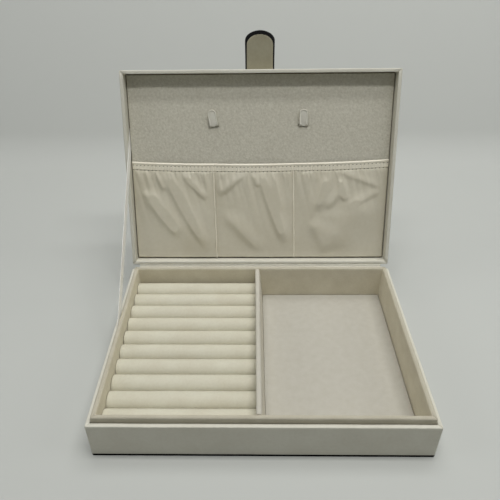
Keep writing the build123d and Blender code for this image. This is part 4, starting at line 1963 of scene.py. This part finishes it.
@dataclass
class ClosingTab:
    """Black strap from the lid's outer face over its front edge, with a cream facing and a magnet."""

    lid: LidFrame
    tip_width: float = 27 * MM
    tip_arch: float = 8.8 * MM
    edge: float = 0.4 * MM
    fold_before: float = 1.6 * MM
    fold_after: float = 2.4 * MM
    facing_edge: float = 0.4 * MM
    facing_short: float = 0.8 * MM

    def outline(
        self, root: float, tip: float, start: float, end: float, rounded_start: bool
    ) -> tuple[np.ndarray, np.ndarray]:
        """Stations and half widths of a strap with an arched tip.

        Args:
            root: Width where the strap starts.
            tip: Width at its tip, before it is arched.
            start: Where it starts, from the lid's rear edge.
            end: Where it ends.
            rounded_start: Whether its start is rounded as its tip is.

        Returns:
            The stations and half of the width at each.
        """
        root_arch = self.tip_arch if rounded_start else 0.0
        curve = np.linspace(0, math.pi / 2, 18)
        straight = np.linspace(start + root_arch, end - self.tip_arch, 60)
        near = start + root_arch * (1 - np.sin(curve[:0:-1])) if rounded_start else np.array([])
        far = end - self.tip_arch * (1 - np.sin(curve[1:]))
        stations = np.concatenate([near, straight, far])
        share = (stations - start) / (end - start)
        width = (root + (tip - root) * share) / 2
        past = np.maximum(stations - straight[-1], straight[0] - stations) / self.tip_arch
        return stations, width * np.sqrt(np.maximum(1 - np.maximum(past, 0) ** 2, 1e-4))

    def placed(self, points: np.ndarray, level: float) -> np.ndarray:
        """Strap points at a height off the lining, at the open rest."""
        across, along, height = points.T
        return self.lid.on_face(np.column_stack([across, along, height + level]))

    def build(self) -> None:
        """Makes and dresses the strap and its facing."""
        anchor_low, anchor_high = self.lid.face_box("tab_anchor")
        outer_low, outer_high = self.lid.face_box("tab_outer")
        root = anchor_high[0] - anchor_low[0]
        thickness = outer_high[2] - outer_low[2]
        stations, widths = self.outline(root, self.tip_width, anchor_low[1], outer_high[1], True)
        points, faces = strip(stations, widths, thickness, self.edge, columns=13)
        strap = make_piece(
            "closing_tab_strap", self.placed(points, (outer_low[2] + outer_high[2]) / 2), faces, sharp=60
        )
        settle(strap, BLACK, None, "tab_outer", "tab_anchor")
        fold = np.array([0, outer_low[1], outer_high[2]])
        reaches = np.array([[0, -self.fold_before, 0], [0, self.fold_after, 0]])
        start, end = self.lid.on_face(fold + reaches)
        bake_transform(strap)
        low, high = self.lid.face_box("tab_lining")
        facing_end = high[1] - self.facing_short
        stations, widths = self.outline(-2 * low[0], high[0] - low[0], low[1], facing_end, False)
        points, faces = strip(stations, widths, high[2] - low[2], self.facing_edge, columns=11)
        placed = self.placed(points, (low[2] + high[2]) / 2)
        facing = make_piece("closing_tab_facing", placed, faces, sharp=60)
        settle(facing, TAB_FACE_PAINTED_SHADE, Body.TAB, "tab_lining")
        dress(STEEL, "tab_magnet")


@dataclass
class HingeStrip:
    """Leatherette strip that joins base and lid: a leg on each rear face and a fold between them."""

    lid: LidFrame
    thickness: float = 0.5 * MM
    bend: float = 0.45 * MM
    step: float = 0.6 * MM
    columns: int = 60
    softness: float = 0.04 * MM
    bend_reach: float = 0.35 * MM

    def middle_line(self) -> np.ndarray:
        """Middle line of the strip's section at the open rest.

        Returns:
            Its points as y and z, from the base's leg to the lid's.
        """
        half = self.thickness / 2
        low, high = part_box("hinge_strip_base")
        shut_low, shut_high = self.lid.shut_box("hinge_strip_lid")
        lid_leg = np.array(
            [
                [0, shut_low[1] + half, shut_high[2]],
                [0, shut_low[1] + half, shut_low[2] + half],
                [0, shut_high[1], shut_low[2] + half],
            ]
        )
        end, knee, edge = self.lid.opened(lid_leg)[:, 1:]
        flap = high.z - half
        share = (flap - edge[1]) / (knee[1] - edge[1])
        fold = edge + (knee - edge) * share
        corners = [
            (low.y + half, low.z, 0.0),
            (low.y + half, flap, self.bend),
            (fold[0], fold[1], self.bend),
            (knee[0], knee[1], self.bend),
            (end[0], end[1], 0.0),
        ]
        outline = rounded_outline(corners, self.step)
        last = int(np.argmin(np.hypot(*(outline - end).T)))
        return outline[: last + 1]

    def build(self) -> None:
        """Makes the strip, folded between base and lid at the open rest, on no single body."""
        low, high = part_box("hinge_strip_base")
        line = self.middle_line()
        way = np.gradient(line, axis=0)
        way /= np.linalg.norm(way, axis=1)[:, None]
        out = np.column_stack([way[:, 1], -way[:, 0]]) * self.thickness / 2
        section = np.concatenate([line + out, (line - out)[::-1]])
        stations = np.linspace(low.x, high.x, self.columns)
        rings = [np.column_stack([np.full(len(section), x), section]) for x in stations]
        points = uneven(np.concatenate(rings), self.softness, size=30 * MM, seed=71)
        piece = make_piece("hinge_strip_leatherette", points, capped_tube(len(rings), len(section)))
        settle(piece, HINGE_LEATHER_PAINTED_LIGHT, None, "hinge_strip_base", "hinge_strip_lid")
        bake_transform(piece)


@dataclass
class StayRibbon:
    """Satin ribbon that stops the lid, glued inside the left walls of base and lid."""

    width: float = 10 * MM
    thickness: float = 0.3 * MM
    edge: float = 0.1 * MM
    tail: float = 14 * MM
    end_play: float = 0.4 * MM
    bend_share: tuple[float, float] = (-0.03, 0.85)

    def build(self) -> None:
        """Makes the ribbon along the frame node's long way, on no single body."""
        points = node_points("stay_ribbon")
        middle = points.mean(0)
        _, _, ways = np.linalg.svd((points - middle)[:, 1:], full_matrices=False)
        along = np.array([0.0, *ways[0]])
        along *= np.sign(along[2])
        across = np.cross(along, [1.0, 0.0, 0.0])
        reach, off = (points - middle) @ along, (points - middle) @ across
        stations = np.linspace(reach.min() + self.end_play, reach.max() - self.end_play, 120)
        half_widths = np.full(len(stations), self.width / 2)
        local, faces = strip(stations, half_widths, self.thickness, self.edge, columns=9)
        stops = [reach[np.sign(off) == edge].max() - self.end_play for edge in (-1, 1)]
        edges = (-self.width / 2, self.width / 2)
        slant = np.interp(local[:, 0], edges, stops) - stations[0]
        local[:, 1] = stations[0] + (local[:, 1] - stations[0]) * slant / (stations[-1] - stations[0])
        placed = middle + local @ np.array([across, along, [1.0, 0.0, 0.0]])
        ribbon = make_piece("stay_ribbon_satin", placed, faces, local[:, :2])
        settle(ribbon, RIBBON, None, "stay_ribbon")
        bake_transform(ribbon)


@dataclass
class Studio:
    """Pale floor, soft lamps and the camera of the photograph."""

    camera_place: tuple[float, float, float] = (-6.38 * MM, -317.9 * MM, 346.7 * MM)
    pitch: float = 34.677
    yaw: float = -1.303
    roll: float = -0.872
    focal_px: float = 525.0
    centre_px: tuple[float, float] = (243.4, 242.9)
    image_px: float = 500.0
    lamp_aim: tuple[float, float] = (0.145, 0.207)
    lamp_height: float = 1.55
    lamp_length: float = 1.3
    strip_width: float = 0.14
    front_power: float = 10.6
    overhead_power: float = 8.8
    rear_width: float = 0.5
    rear_power: float = 7.9
    fill_power: float = 2.3
    fill_size: tuple[float, float] = (0.6, 0.6)
    lamp_shift: float = 0.2
    ambient: float = 0.11
    floor_seen: Colour = tint(185, 187, 182)
    floor_bounce: Colour = tint(180, 182, 177)
    floor_end: float = 0.36
    sweep_round: float = 0.08
    sweep_angle: float = 57.0

    def camera(self) -> None:
        """Camera at the photograph's place, turned and framed as it is."""
        pitch, yaw, roll = (math.radians(angle) for angle in (self.pitch, self.yaw, self.roll))
        forward = Vector(
            (math.sin(yaw) * math.cos(pitch), math.cos(yaw) * math.cos(pitch), -math.sin(pitch))
        )
        right = Vector((math.cos(yaw), -math.sin(yaw), 0))
        up = right.cross(forward)
        tilted_right = math.cos(roll) * right + math.sin(roll) * up
        tilted_up = math.cos(roll) * up - math.sin(roll) * right
        lens = bpy.data.cameras.new("photo_camera")
        lens.sensor_width = 36.0
        lens.lens = self.focal_px / self.image_px * lens.sensor_width
        half = self.image_px / 2
        lens.shift_x = (half - self.centre_px[0]) / self.image_px
        lens.shift_y = (self.centre_px[1] - half) / self.image_px
        lens.clip_start = 0.01
        camera = bpy.data.objects.new("photo_camera", lens)
        turn = Matrix((tilted_right, tilted_up, -forward)).transposed().to_4x4()
        camera.matrix_world = Matrix.Translation(self.camera_place) @ turn
        bpy.context.scene.collection.objects.link(camera)
        bpy.context.scene.camera = camera

    def lamp(
        self, name: str, away: Vector, size: tuple[float, float], power: float, shift: float = 0.0
    ) -> None:
        """Soft lamp aimed at the lid's upper edge.

        Args:
            name: The lamp's name.
            away: Direction from the box to the lamp.
            size: Its two sides.
            power: Its power in watts.
            shift: How far it is moved to the right.
        """
        light = bpy.data.lights.new(name, "AREA")
        light.shape, light.size, light.size_y = "RECTANGLE", *size
        light.energy = power
        lamp = bpy.data.objects.new(name, light)
        lamp.location = Vector((shift, *self.lamp_aim)) + away.normalized() * self.lamp_height
        lamp.rotation_euler = away.to_track_quat("Z", "Y").to_euler()
        bpy.context.scene.collection.objects.link(lamp)

    def lamps(self) -> None:
        """Three long lamps overhead, as steep as the lid's shadows show, and a weak fill from each side."""
        overhead = (
            ("front_strip", 68.4, self.strip_width, self.front_power),
            ("overhead_strip", 85.7, self.strip_width, self.overhead_power),
            ("rear_soft_lamp", 104.0, self.rear_width, self.rear_power),
        )
        for name, elevation, width, power in overhead:
            angle = math.radians(elevation)
            away = Vector((0, -math.cos(angle), math.sin(angle)))
            self.lamp(name, away, (self.lamp_length, width), power, self.lamp_shift)
        for side, across in ((Side.LEFT, -1), (Side.RIGHT, 1)):
            self.lamp("fill_" + side.value, Vector((across, -0.25, 0.6)), self.fill_size, self.fill_power)

    def backdrop(self) -> None:
        """Floor that sweeps up into a rear wall; what it throws back on the box is darker than it looks."""
        front, length, half = -1.6, 1.2, 2.2
        curve = np.linspace(0, math.radians(self.sweep_angle), 12)
        ys = np.concatenate([[front], self.floor_end + self.sweep_round * np.sin(curve)])
        zs = np.concatenate([[0], self.sweep_round * (1 - np.cos(curve))])
        ys = np.append(ys, ys[-1] + length * math.cos(curve[-1]))
        zs = np.append(zs, zs[-1] + length * math.sin(curve[-1]))
        xs = np.linspace(-half, half, 3)
        points = np.array([(x, y, z) for y, z in zip(ys, zs) for x in xs])
        floor = make_piece("pale_floor", points, grid_faces(len(ys), len(xs)), sharp=180)
        material = bpy.data.materials.new("pale_floor")
        material.use_nodes = True
        kit = NodeKit(material.node_tree)
        path = kit.add("ShaderNodeLightPath").outputs
        seen = kit.math("MAXIMUM", path["Is Camera Ray"], path["Is Glossy Ray"])
        seen = kit.math("MAXIMUM", seen, path["Is Transmission Ray"])
        tone = kit.mix(seen, self.floor_bounce, self.floor_seen)
        shader = material.node_tree.nodes["Principled BSDF"]
        material.node_tree.links.new(tone, shader.inputs["Base Color"])
        shader.inputs["Roughness"].default_value = 0.75
        shader.inputs["Specular IOR Level"].default_value = 0.2
        floor.data.materials.append(material)

    def build(self) -> None:
        """Sets up the camera, the floor, the lamps and the surrounding light."""
        self.camera()
        self.backdrop()
        self.lamps()
        scene = bpy.context.scene
        scene.view_settings.view_transform = "Standard"
        world = scene.world or bpy.data.worlds.new("studio")
        scene.world = world
        world.use_nodes = True
        sky = world.node_tree.nodes["Background"]
        sky.inputs["Color"].default_value = tint(250, 252, 252)
        sky.inputs["Strength"].default_value = self.ambient


def main() -> None:
    """Builds every part of the box and the studio round it."""
    logging.basicConfig(level=logging.INFO, format="%(name)s %(message)s")
    lid = LidFrame.from_frame()
    parts = [
        BaseShell(),
        Tray(),
        RingRolls(),
        LidShell(lid),
        LidLining(lid),
        Pocket(lid),
        ClosingTab(lid),
        HingeStrip(lid),
        StayRibbon(),
        Studio(),
    ]
    for part in parts:
        part.build()


if __name__ == "__main__":
    main()
